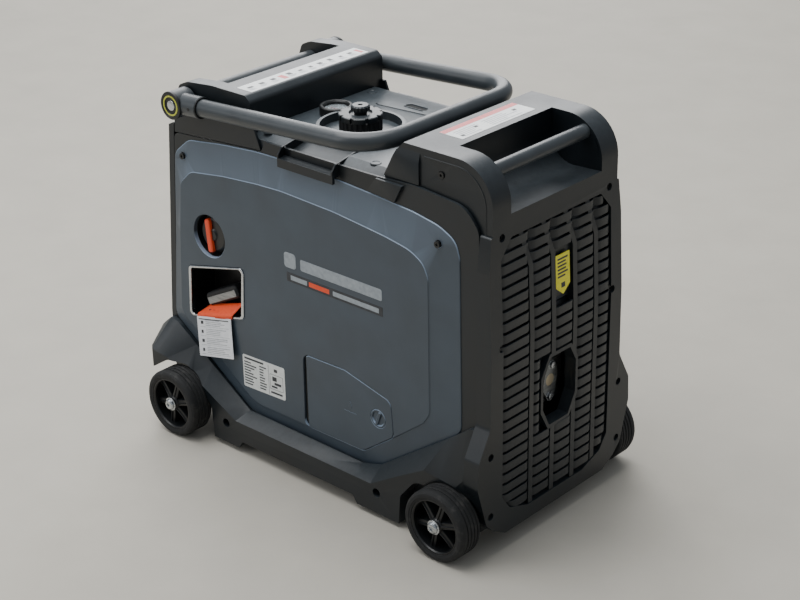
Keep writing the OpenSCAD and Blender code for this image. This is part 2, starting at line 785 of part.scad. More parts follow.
module recoil_bezel() color(c_steel) difference() {
    prism_y(-panel_y - 2, -frame_y)
        polygon(rounded(grown(window, window_mid, 2.6), 8));
    prism_y(-200, -100)
        polygon(rounded(grown(window, window_mid, -3.5), 5));
}
// Moulded grip on its cord; the cord runs back over the starter pulley
module recoil_grip() color(c_rubber) {
    difference() {
        translate([cord_x, -frame_y + 12, cord_z])
            rotate([0, -25, 0])
                prism_y(-11, 11)
                    polygon(rounded([[-38, -10], [38, -10], [38, 10], [-38, 10]], 5));
        rod_y(1, -200, -frame_y, cord_x, cord_z);
    }
    rod_y(2.4, -frame_y + 20, 54, cord_x, cord_z);
}
// Orange caution tag in the window and the white instruction card below it
module recoil_tags() color(c_orange) {
    strip_y = -panel_y - 2.3;
    prism_y(strip_y - 0.6, -frame_y)
        polygon([[-238, 195.3], [-160, 214.9], [-160, 214.1], [-238, 194.5]]);
    prism_y(strip_y - 0.6, strip_y)
        polygon([[-241, 186], [-166, 205], [-160, 214.9], [-238, 195.3]]);
    translate([0, strip_y - 0.6, 196])
        rotate([-card_lean, 0, 0])
            prism_y(-0.6, 0.1)
                polygon([[-242, -10], [-166, 9], [-164, -51], [-236, -70]]);
}
module oil_cover() color(c_panel) difference() {
    union() {
        intersection() {
            prism_y(-panel_y, -panel_y + 3)
                polygon(rounded(grown(oil_outline, [60, 140], -gap), 12));
            union() {
                box(oil_hinge_x, 200, -200, -100, 92, 184);
                box(oil_hinge_x + 3, 200, -200, -100, 0, 300);
            }
        }
        rod_z(1.6, 92, 184, oil_hinge_x, -panel_y + 1.6);
    }
    rod_y(oil_knob_r + 0.3, -200, -100, oil_knob_x, oil_knob_z);
}
module oil_cover_knob() color(c_panel) {
    difference() {
        rod_y(oil_knob_r, -panel_y, -panel_y + 3, oil_knob_x, oil_knob_z);
        translate([oil_knob_x, -panel_y, oil_knob_z])
            rotate([0, 20, 0])
                cube([6, 3, 30], center = true);
    }
    translate([oil_knob_x, -panel_y, oil_knob_z])
        rotate([0, 20, 0])
            prism_y(-1.4, 1.6)
                polygon(rounded([[-2.4, -12], [2.4, -12], [2.4, 12], [-2.4, 12]], 2));
}

// ------------------------------------------------------------------ wheels
module tyre(x, side) {
    inner = wheel_face_y - wheel_w;
    translate([x, 0, wheel_r])
        rotate([side > 0 ? -90 : 90, 0, 0])
            difference() {
                translate([0, 0, inner])
                    cylinder(r = wheel_r, h = wheel_w, $fn = 96);
                translate([0, 0, inner - 1])
                    cylinder(r = wheel_r - 12, h = wheel_w + 2, $fn = 96);
                for (i = [0:4])
                    translate([0, 0, inner + 6 + i * 6.5])
                        difference() {
                            cylinder(r = wheel_r + 1, h = 1.6, $fn = 96);
                            translate([0, 0, -1])
                                cylinder(r = wheel_r - 1.6, h = 4, $fn = 96);
                        }
            }
}
module hub(x, side) {
    inner = wheel_face_y - wheel_w;
    spokes = 6;
    translate([x, 0, wheel_r])
        rotate([side > 0 ? -90 : 90, 0, 0])
            difference() {
                union() {
                    difference() {
                        translate([0, 0, inner + 1])
                            cylinder(r = wheel_r - 12, h = wheel_w - 2, $fn = 96);
                        translate([0, 0, inner + 8])
                            cylinder(r = wheel_r - 16, h = wheel_w, $fn = 96);
                    }
                    translate([0, 0, inner - 4])
                        cylinder(r = 11, h = wheel_w + 1);
                    for (i = [0:spokes - 1])
                        rotate([0, 0, i * 360 / spokes])
                            translate([6, -6, inner + 4])
                                cube([wheel_r - 20, 12, wheel_w - 10]);
                }
                translate([0, 0, inner - 6])
                    cylinder(r = axle_r + fit, h = wheel_w + 20);
                for (i = [0:spokes - 1])
                    rotate([0, 0, (i + 0.5) * 360 / spokes])
                        translate([24, 0, inner - 4])
                            cylinder(r = 8, h = wheel_w);
            }
}
module hub_front_near() color(c_rubber) hub(front_axle_x, near);
module hub_front_far() color(c_rubber) hub(front_axle_x, far);
module hub_rear_near() color(c_rubber) hub(rear_axle_x, near);
module hub_rear_far() color(c_rubber) hub(rear_axle_x, far);
module tyre_front_near() color(c_rubber) tyre(front_axle_x, near);
module tyre_front_far() color(c_rubber) tyre(front_axle_x, far);
module tyre_rear_near() color(c_rubber) tyre(rear_axle_x, near);
module tyre_rear_far() color(c_rubber) tyre(rear_axle_x, far);
module wheel_bolts() color(c_steel)
    for (x = [front_axle_x, rear_axle_x])
        for (side = [near, far]) {
            rod_y(axle_r, side * (inner_y - 25), side * (wheel_face_y - 2), x, wheel_r);
            rod_y(10, side * (wheel_face_y - 2.5), side * (wheel_face_y - 0.5), x,
                wheel_r);
            rod_y(6.5, side * (wheel_face_y - 1), side * (wheel_face_y + 4), x,
                wheel_r);
        }

module screw_y(x, y, z, side) {
    difference() {
        rod_y(4.6, side * y, side * (y + 3), x, z);
        rod_y(2, side * (y + 1.5), side * (y + 4), x, z);
    }
}
module cover_screws() color("#3a3d40") {
    for (side = [near, far]) {
        for (p = [[-255, 439], [234, 437]])
            screw_y(p[0], frame_y + 3, p[1], side);
        for (x = [-168, 139])
            screw_y(x, panel_y + 12, 41, side);
        screw_y(234, tower_half_w - 1.5, 529, side);
        for (s = end_screws)
            difference() {
                rod_x(5, s[2] - 8, s[2] - 4, side * s[0], s[1]);
                rod_x(2.2, s[2] - 6, s[2], side * s[0], s[1]);
            }
    }
}

// --------------------------------------------------------------- internals
module sub_frame() color(c_steel) {
    for (side = [near, far])
        box(-230, 280, side * 70 - 9, side * 70 + 9, 31, 45);
    for (x = [-210, 40, 250])
        box(x - 10, x + 10, -61, 61, 31, 43);
}
module engine_block() color(c_alu) difference() {
    union() {
        box(40, 170, -70, 70, 48, crank_z + 50);
        box(50, 160, -78, 78, 45, 60);
    }
    rod_x(15 + fit, 0, 200, 0, crank_z);
    box(54, 156, -58, 58, 60, crank_z - 20);
    rod_y(9, -100, -50, 120, 110);
}
module cylinder_head() color(c_alu) {
    translate([105, 22, crank_z + 50.2]) {
        rod_z(34, 0, 20, 0, 10);
        for (i = [0:6])
            translate([-46, -34, 6 + i * 9])
                cube([92, 88, 3.5]);
        translate([-36, -20, 0])
            cube([72, 60, 84]);
        translate([-40, -24, 84])
            cube([80, 68, 22]);
    }
}
module spark_plug() color("#e8e6df") {
    rod_z(9, crank_z + 156.4, crank_z + 190, 70 + 5, 80 - 8);
    rod_z(6, crank_z + 190, crank_z + 214, 70 + 5, 80 - 8);
}
outlet_y = 18;
outlet_z = 200;
module muffler() color(c_steel) difference() {
    union() {
        box(200, 286, -74, 58, 160, 340);
        rod_x(14, 285, 296, outlet_y, outlet_z);
        prism_x(293, 298)
            polygon(rounded([[outlet_y - 16, outlet_z - 10], [outlet_y - 4, outlet_z - 33],
                [outlet_y + 8, outlet_z - 33], [outlet_y + 17, outlet_z + 8],
                [outlet_y + 6, outlet_z + 31], [outlet_y - 6, outlet_z + 31]], 7));
        for (dz = [-24, 23])
            rod_x(5, 297.5, 302, outlet_y + dz / 12, outlet_z + dz);
        rod_x(14, 172, 201, -20, 270);
    }
    rod_x(9, 280, 305, outlet_y, outlet_z);
    box(204, 282, -70, 54, 164, 336);
}
module air_cleaner() color(c_black) {
    box(-30, 60, -118, -84, 250, 350);
    rod_y(16, -84.2, -72, 15, 300);
}
module recoil_starter() color(c_orange) difference() {
    rod_x(78, cord_x - 24, cord_x + 24, 0, crank_z);
    rod_x(74, cord_x - 21, cord_x + 30, 0, crank_z);
    rod_x(12, cord_x - 30, cord_x + 30, 0, crank_z);
    rod_y(5, -100, 100, cord_x, cord_z);
}
module crank_rotor() color(c_steel) {
    rod_x(15, -160, 165, 0, crank_z);
    rod_x(10, cord_x - 14, -159, 0, crank_z);
    rod_x(62, -120, -40, 0, crank_z);
    rod_x(70, -150, -138, 0, crank_z);
    difference() {
        rod_x(pulley_r - 3, cord_x - 6, cord_x + 6, 0, crank_z);
        for (i = [0:5])
            rod_x(6, cord_x - 10, cord_x + 10, 30 * cos(i * 60),
                crank_z + 30 * sin(i * 60));
    }
}
module stator() color(c_steel) difference() {
    union() {
        rod_x(90, -118, -42, 0, crank_z);
        box(-110, -50, -60, 60, 45, 130);
    }
    rod_x(63, -130, -30, 0, crank_z);
}
module fuel_tank() color("#2c2e31") difference() {
    union() {
        prism_x(-96, 136)
            polygon(rounded([[-118, 410], [40, 410], [40, 490], [-118, 490]], 12));
        rod_z(24 - fit, 488, deck_z + 15, filler_x, filler_y);
    }
    rod_z(20, 480, deck_z + 20, filler_x, filler_y);
    prism_x(-93, 133)
        polygon([[-112, 414], [34, 414], [34, 486], [-112, 486]]);
    rod_z(gauge_r, 485, 520, gauge_x, gauge_y);
}
module inverter_module() color(c_alu) {
    box(-268, -256, -112, 112, 285, 460);
    for (i = [0:13])
        box(-256.2, -236, -108 + i * 16, -104 + i * 16, 290, 455);
}
module battery() color("#1d1f22") {
    box(-20, 24, 84, 126, 62, 142);
    for (x = [-10, 14])
        rod_z(4, 141.8, 150, x, 105);
}

base_tray();
skirt_near();
skirt_far();
side_frame_near();
side_frame_far();
side_panel_near();
side_panel_far();
rear_frame();
exhaust_grille();
grab_bar();
top_cover();
front_housing();
front_cover();
control_panel();
spill_chute();
fuel_gauge();
gauge_lens();
fuel_cap();
vent_knob();
spark_plug_cover();
oil_cover();
oil_cover_knob();
starter_pocket();
engine_dial();
recoil_bezel();
recoil_grip();
recoil_tags();
handle_tube();
handle_tees();
tee_caps();
pivot_tube();
hub_front_near();
hub_front_far();
hub_rear_near();
hub_rear_far();
tyre_front_near();
tyre_front_far();
tyre_rear_near();
tyre_rear_far();
wheel_bolts();
cover_screws();
engine_block();
cylinder_head();
spark_plug();
muffler();
air_cleaner();
recoil_starter();
crank_rotor();
stator();
fuel_tank();
inverter_module();
battery();
sub_frame();
display();
outlets();
outlet_flap_left();
outlet_flap_right();
eco_rocker();
start_button();
breaker_button();
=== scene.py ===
"""Finishes and shaped skins for an enclosed inverter generator on wheels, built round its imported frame."""

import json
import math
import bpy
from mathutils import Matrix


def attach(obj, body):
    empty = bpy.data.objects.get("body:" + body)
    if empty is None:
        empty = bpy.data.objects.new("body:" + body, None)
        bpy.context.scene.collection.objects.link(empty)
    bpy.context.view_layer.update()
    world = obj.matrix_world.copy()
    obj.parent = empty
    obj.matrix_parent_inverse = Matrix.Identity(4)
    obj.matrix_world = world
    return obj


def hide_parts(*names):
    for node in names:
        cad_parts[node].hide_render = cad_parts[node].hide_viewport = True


bl_info = {
    "name": "Suitcase Generator Finishes",
    "version": (1, 0, 0),
    "blender": (4, 5, 0),
    "location": "3D View > Sidebar > Generator",
    "description": "Builds the moulded skins, labels and materials of a wheeled inverter generator",
    "category": "Object",
}

import bmesh
import bpy
import numpy as np
from bpy.props import FloatProperty, FloatVectorProperty, IntProperty, PointerProperty
from mathutils import Matrix, Vector
from mathutils.geometry import delaunay_2d_cdt

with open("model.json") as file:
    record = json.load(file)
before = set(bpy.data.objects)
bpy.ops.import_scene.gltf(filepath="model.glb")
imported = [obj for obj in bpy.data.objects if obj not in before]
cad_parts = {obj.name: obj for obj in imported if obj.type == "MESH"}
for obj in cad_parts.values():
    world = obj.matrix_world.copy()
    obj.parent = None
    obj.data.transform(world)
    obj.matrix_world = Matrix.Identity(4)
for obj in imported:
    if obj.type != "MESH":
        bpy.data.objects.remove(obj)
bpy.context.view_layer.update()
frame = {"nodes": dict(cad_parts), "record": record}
MM = 0.001

# Main places of the machine, in millimetres, the same as in the solid model
PANEL_Y = 142.0
DECK_Z, TOWER_TOP = 508.0, 558.0
PIVOT = (-238.0, 527.0)
SLOPE = math.radians(3.3)
WHEEL_R = 52.5
TUBE_R = 12.7
TOWER_ARC = ((260.0, 500.0), 47.0)
FILLER = (5.0, -37.0)
GAUGE = (-72.0, -6.0)
DIAL = (-206.0, 327.0)
CORD = (-189.0, 237.0)
LEAN = math.atan(23 / 275)


# ------------------------------------------------------------------ colours and nodes
def srgb(code):
    """A hex colour as linear red, green, blue and alpha: c/12.92 near black, else ((c+0.055)/1.055)^2.4."""
    parts = [int(code[i:i + 2], 16) / 255 for i in (1, 3, 5)]
    return tuple(c / 12.92 if c <= 0.04045 else ((c + 0.055) / 1.055) ** 2.4 for c in parts) + (1.0,)


def add(tree, kind, inputs=None, **settings):
    """Adds one node. An input is a value, or a (node, output) pair to link from."""
    node = tree.nodes.new(kind)
    for key, value in settings.items():
        setattr(node, key, value)
    for key, value in (inputs or {}).items():
        if isinstance(value, tuple) and isinstance(value[0], bpy.types.Node):
            tree.links.new(value[0].outputs[value[1]], node.inputs[key])
        else:
            node.inputs[key].default_value = value
    return node


def new_material(name, **shader):
    """A material with a Principled shader whose uniform values sit on its own sockets."""
    material = bpy.data.materials.new(name)
    material.use_nodes = True
    tree = material.node_tree
    surface = tree.nodes["Principled BSDF"]
    for key, value in shader.items():
        surface.inputs[key.replace("_", " ")].default_value = value
    coords = add(tree, "ShaderNodeTexCoord")
    return material, tree, surface, coords


def tones(tree, source, low, high):
    """Colour between two hex tones, driven by a noise factor."""
    ramp = add(tree, "ShaderNodeValToRGB", {"Fac": source})
    for element, position, tone in zip(ramp.color_ramp.elements, (0.3, 0.7), (low, high)):
        element.position, element.color = position, srgb(tone)
    return ramp


def noise(tree, vector, size_mm, detail, **more):
    """Noise whose largest cells are about size_mm across."""
    inputs = {"Vector": vector, "Scale": 1 / (size_mm * MM), "Detail": detail, **more}
    return add(tree, "ShaderNodeTexNoise", inputs)


def spread(tree, source, low, high, start=0.3, stop=0.7):
    """A value between start and stop, mapped to low..high."""
    return add(tree, "ShaderNodeMapRange", {"Value": source, "From Min": start, "From Max": stop,
                                            "To Min": low, "To Max": high})


def blend(tree, factor, a, b):
    """Colour a faded to colour b by a factor."""
    return add(tree, "ShaderNodeMix", {"Factor": factor, "A": a, "B": b}, data_type="RGBA")


def finish(tree, surface, colour, roughness=None, *, relief):
    """Links a colour, a roughness and a bump, given as (height, strength, depth in mm), to the shader."""
    tree.links.new(colour, surface.inputs["Base Color"])
    if roughness:
        tree.links.new(roughness.outputs[0], surface.inputs["Roughness"])
    height, strength, depth = relief
    bump = add(tree, "ShaderNodeBump", {"Height": height, "Strength": strength, "Distance": depth * MM})
    tree.links.new(bump.outputs[0], surface.inputs["Normal"])


def moulded(name, low, high, roughness, grain_relief=0.12, dust_and_painted_sheen=0.0, painted_sky_reflection=None):
    """Injection-moulded plastic: slow tone drift, a spark-eroded grain, and on upward faces a faint speckled
    dust mixed with a painted bluish sky sheen.
    Its last argument is the hex tone of a painted sky reflection, which faces tilted a few degrees upwards
    fade to.
    The real grain is about 0.3 mm and would not show, so it is drawn several times as coarse."""
    material, tree, surface, coords = new_material(name, IOR=1.5)
    place = (coords, "Object")
    drift = noise(tree, place, 70, 3.0)
    colour = tones(tree, (drift, "Fac"), low, high)
    normal = add(tree, "ShaderNodeNewGeometry")
    split = add(tree, "ShaderNodeSeparateXYZ", {"Vector": (normal, "Normal")})
    specks = noise(tree, place, 9, 5.0, Roughness=0.7)
    # Upward faces fade to bluish grey #8b979f through a speckled mask: dust mixed with a painted sky sheen.
    upward = spread(tree, (split, "Z"), 0.0, dust_and_painted_sheen, 0.35, 1.0)
    dust_and_sheen_mask = add(tree, "ShaderNodeMath", {0: (upward, "Result"), 1: (specks, "Fac")}, operation="MULTIPLY")
    mix = blend(tree, (dust_and_sheen_mask, "Value"), (colour, "Color"), srgb("#8b979f"))
    # Painted sky reflection: faces tilted upwards fade to a paler tone, most of all on steep up-facing
    # fillets.
    if painted_sky_reflection:
        tilt = spread(tree, (split, "Z"), 0.0, 1.0, 0.025, 0.5)
        curve = add(tree, "ShaderNodeMath", {0: (tilt, "Result"), 1: 0.68}, operation="POWER")
        mix = blend(tree, (curve, "Value"), (mix, 2), srgb(painted_sky_reflection))
    grain = noise(tree, place, 2.2, 2.0)
    shine = spread(tree, (drift, "Fac"), roughness - 0.05, roughness + 0.06)
    finish(tree, surface, mix.outputs[2], shine, relief=((grain, "Fac"), grain_relief, 0.4))
    return material


def powder_coated(name, low, high):
    """Powder-coated steel tube: even satin coat with a slight orange peel about 3 mm across."""
    material, tree, surface, coords = new_material(name, IOR=1.5, Coat_Weight=0.15, Coat_Roughness=0.3)
    peel = add(tree, "ShaderNodeTexVoronoi", {"Vector": (coords, "Object"), "Scale": 1 / (3 * MM)},
               feature="SMOOTH_F1")
    drift = noise(tree, (coords, "Object"), 45, 4.0)
    colour = tones(tree, (drift, "Fac"), low, high)
    shine = spread(tree, (drift, "Fac"), 0.36, 0.46)
    finish(tree, surface, colour.outputs[0], shine, relief=((peel, "Distance"), 0.08, 0.3))
    return material


def plated(name, low, high, roughness, streak_mm=1.4):
    """Plated or bare metal: fine streaks from rolling or turning break up the reflection."""
    material, tree, surface, coords = new_material(name, Metallic=1.0)
    stretch = add(tree, "ShaderNodeMapping", {"Vector": (coords, "Object"), "Scale": (1.0, 1.0, 9.0)})
    streaks = noise(tree, (stretch, "Vector"), streak_mm * 6, 6.0)
    colour = tones(tree, (streaks, "Fac"), low, high)
    shine = spread(tree, (streaks, "Fac"), roughness * 0.8, roughness * 1.3)
    finish(tree, surface, colour.outputs[0], shine, relief=((streaks, "Fac"), 0.06, 0.2))
    return material


def worn_rubber(name, low, high):
    """Solid rubber: matt black with grey dust caught in a coarse mottle."""
    material, tree, surface, coords = new_material(name, IOR=1.52, Roughness=0.78)
    mottle = noise(tree, (coords, "Object"), 14, 7.0, Roughness=0.65)
    colour = tones(tree, (mottle, "Fac"), low, high)
    patches = spread(tree, (mottle, "Fac"), 0.0, 0.35, 0.55, 0.85)
    mix = blend(tree, (patches, "Result"), (colour, "Color"), srgb("#6d6a64"))
    finish(tree, surface, mix.outputs[2], relief=((mottle, "Fac"), 0.15, 0.5))
    return material


def printed(name, low, high, roughness=0.5):
    """Printed film or card: nearly even ink with a paper-fine tooth."""
    material, tree, surface, coords = new_material(name, IOR=1.46, Roughness=roughness)
    tooth = noise(tree, (coords, "Object"), 6, 5.0)
    colour = tones(tree, (tooth, "Fac"), low, high)
    finish(tree, surface, colour.outputs[0], relief=((tooth, "Fac"), 0.05, 0.1))
    return material


def cast_metal(name, low, high, roughness):
    """Sand or die cast metal: bright but matt, with a pebbled skin about 2 mm across."""
    material, tree, surface, coords = new_material(name, Metallic=0.9, Roughness=roughness)
    skin = noise(tree, (coords, "Object"), 2.5, 4.0)
    stain = noise(tree, (coords, "Object"), 40, 4.0)
    colour = tones(tree, (stain, "Fac"), low, high)
    finish(tree, surface, colour.outputs[0], relief=((skin, "Fac"), 0.3, 0.3))
    return material


def clear_lens(name):
    """Polycarbonate window: clear, with a few hairline scuffs in its roughness."""
    material, tree, surface, coords = new_material(name, IOR=1.58, Transmission_Weight=0.85,
                                                   Base_Color=srgb("#dfe6ea"))
    scuff = noise(tree, (coords, "Object"), 3, 6.0)
    shine = spread(tree, (scuff, "Fac"), 0.05, 0.3, 0.0, 1.0)
    tree.links.new(shine.outputs[0], surface.inputs["Roughness"])
    return material


M = {}


def make_materials():
    """All finishes of the machine by short name."""
    M.update(
        # On upward faces each moulded finish mixes in speckled dust and a painted bluish sky sheen, by the
        # share given.
        # The panel's upward-tilted faces also fade to a painted sky reflection, #8fa1b6.
        panel=moulded("panel_abs_blue_grey", "#38424c", "#414c57", 0.36, dust_and_painted_sheen=0.03, painted_sky_reflection="#8fa1b6"),
        casing=moulded("casing_pp_charcoal", "#0c1216", "#12191e", 0.38, dust_and_painted_sheen=0.16),
        deck=moulded("deck_pp_grey", "#21272b", "#2a3136", 0.36, dust_and_painted_sheen=0.3),
        trim=moulded("trim_pa_black", "#0b0c0d", "#121415", 0.38, dust_and_painted_sheen=0.05),
        tube=powder_coated("tube_powder_coat", "#2b3034", "#343a3e"),
        grip=moulded("grip_soft_black", "#0e0f10", "#17181a", 0.6),
        tyre=worn_rubber("tyre_solid_rubber", "#0f1011", "#1b1c1d"),
        zinc=plated("zinc_plated_steel", "#9da1a4", "#d5d8da", 0.28),
        chrome=plated("bezel_bright_nickel", "#a9adb1", "#e4e6e8", 0.16),
        orange=moulded("lever_orange_abs", "#e2441b", "#f1542a", 0.42),
        tag=printed("tag_orange_card", "#ee4a22", "#f65f31", 0.55),
        card=printed("card_white", "#e3e5ea", "#f1f2f5", 0.6),
        film=printed("label_white_film", "#d7dad9", "#e6e8e6", 0.38),
        ink=printed("print_dark", "#2a2c30", "#3a3d42", 0.5),
        faint=printed("print_grey", "#a3a7ac", "#b9bcc0", 0.5),
        red=printed("print_red", "#d2575a", "#e06a6b", 0.45),
        yellow=printed("label_yellow_film", "#eadf1e", "#f5ec3a", 0.4),
        ring=printed("ring_yellow_green", "#b5b83e", "#ccce52", 0.4),
        silver=printed("mark_silver_grey", "#8d959c", "#a2a9af", 0.35),
        cast=cast_metal("block_die_cast", "#7c8083", "#a2a6a9", 0.45),
        sheet=plated("sheet_galvanised", "#7e8081", "#a9abab", 0.42, 3.0),
        # Outlet screen: a heat tint painted paler than it is, standing in for light reaching its shaded
        # recess.
        hot=cast_metal("outlet_heat_tint_and_painted_light", "#d3c5a8", "#efe3c8", 0.42),
        tank=moulded("tank_hdpe_black", "#191b1d", "#222527", 0.5),
        coil=plated("winding_varnished_copper", "#6e2f17", "#a65a2e", 0.4),
        ceramic=printed("insulator_glazed", "#dedbd2", "#efece4", 0.15),
        screen=moulded("display_dark_film", "#0a0d10", "#12161a", 0.18, grain_relief=0.01),
        lens=clear_lens("lens_clear_pc"),
        pale=moulded("button_pale_abs", "#c5c5c0", "#d9d9d4", 0.4),
        void=moulded("recess_shadow_black", "#060708", "#0b0c0d", 0.7),
    )


# ------------------------------------------------------------------ numpy surfaces
def unit(v):
    """Vectors along the last axis, each divided by its length."""
    v = np.asarray(v, float)
    return v / np.maximum(np.linalg.norm(v, axis=-1, keepdims=True), 1e-12)


def rounded(corners, radii, steps=6):
    """Closed outline: each corner is an arc of radius r tangent to both edges,
    with its midpoint at p + bisector r / sin(half)."""
    p = np.asarray(corners, float)
    before, after = np.roll(p, 1, 0) - p, np.roll(p, -1, 0) - p
    a, b = unit(before), unit(after)
    half = np.minimum(np.arccos(np.clip((a * b).sum(1), -1, 1)) / 2, math.radians(89.9))
    shorter = np.minimum(np.linalg.norm(before, axis=1), np.linalg.norm(after, axis=1))
    run = np.minimum(np.broadcast_to(radii, len(p)) / np.tan(half), 0.48 * shorter)
    radius = run * np.tan(half)
    middle = p + unit(a + b) * (radius / np.sin(half))[:, None]
    t = np.linspace(0, 1, steps + 1)[None, :, None]
    sweep = (p + a * run[:, None] - middle)[:, None] * (1 - t) + (p + b * run[:, None] - middle)[:, None] * t
    return (middle[:, None] + radius[:, None, None] * unit(sweep)).reshape(-1, 2)


def softened(points, radii, steps=4):
    """Open profile with its inner corners rounded, ends kept."""
    p = np.asarray(points, float)
    radii = np.broadcast_to(radii, len(p))
    ring = rounded(p, radii, steps).reshape(len(p), steps + 1, 2)
    return np.concatenate([p[:1], ring[1:-1].reshape(-1, 2), p[-1:]])


def circle(x, z, r, count=48):
    """Points x + r cos t, z + r sin t."""
    t = np.linspace(0, 2 * math.pi, count, endpoint=False)
    return np.stack([x + r * np.cos(t), z + r * np.sin(t)], 1)


def grown(points, middle, d):
    """Corners pushed d away from a middle point."""
    p = np.asarray(points, float)
    return p + d * unit(p - np.asarray(middle, float))


def anticlockwise(loop):
    """The loop, turned so that its signed area is positive."""
    x, y = loop[:, 0], loop[:, 1]
    return loop if (x * np.roll(y, -1) - np.roll(x, -1) * y).sum() > 0 else loop[::-1]


def inset(loop, d):
    """Every point moved d inwards along the mean of its two edges' normals, lengthened by the mitre."""
    ahead = unit(np.roll(loop, -1, 0) - loop)
    behind = np.roll(ahead, 1, 0)
    normal = unit(np.stack([-(ahead + behind)[:, 1], (ahead + behind)[:, 0]], 1))
    mitre = np.clip((normal * np.stack([-ahead[:, 1], ahead[:, 0]], 1)).sum(1), 0.5, 1)
    return loop + normal * (d / mitre)[:, None]


def away(points, loop):
    """Shortest distance from each point to a closed polyline."""
    a, b = loop, np.roll(loop, -1, 0)
    ab = b - a
    ap = points[:, None] - a[None]
    t = np.clip((ap * ab).sum(2) / np.maximum((ab * ab).sum(1), 1e-12), 0, 1)
    return np.linalg.norm(ap - t[..., None] * ab, axis=2).min(1)


def within(points, loop):
    """True where a point lies inside a closed polyline, by the crossing count."""
    a, b = loop, np.roll(loop, -1, 0)
    x, y = points[:, :1], points[:, 1:]
    spans = (a[:, 1] > y) != (b[:, 1] > y)
    rise = np.where(b[:, 1] == a[:, 1], 1e-9, b[:, 1] - a[:, 1])
    cross = a[:, 0] + (y - a[:, 1]) * (b[:, 0] - a[:, 0]) / rise
    return ((spans & (x < cross)).sum(1) % 2) == 1


class Place:
    """A flat working plane: point = origin + u ex + v ey + h (ex x ey)."""

    def __init__(self, origin, ex, ey):
        self.origin = np.array(origin, float)
        self.ex, self.ey = unit(ex), unit(ey)
        self.up = unit(np.cross(self.ex, self.ey))

    def at(self, u, v, h):
        """World points of plane coordinates, in millimetres."""
        u, v, h = np.broadcast_arrays(u, v, h)
        return self.origin + u[..., None] * self.ex + v[..., None] * self.ey + h[..., None] * self.up


NEAR = Place((0, 0, 0), (1, 0, 0), (0, 0, 1))
FAR = Place((0, 0, 0), (-1, 0, 0), (0, 0, 1))
DECK = Place((0, 0, DECK_Z), (1, 0, 0), (0, 1, 0))
FRONT = Place((-311, 0, 175), (0, -1, 0), (math.sin(LEAN), 0, math.cos(LEAN)))


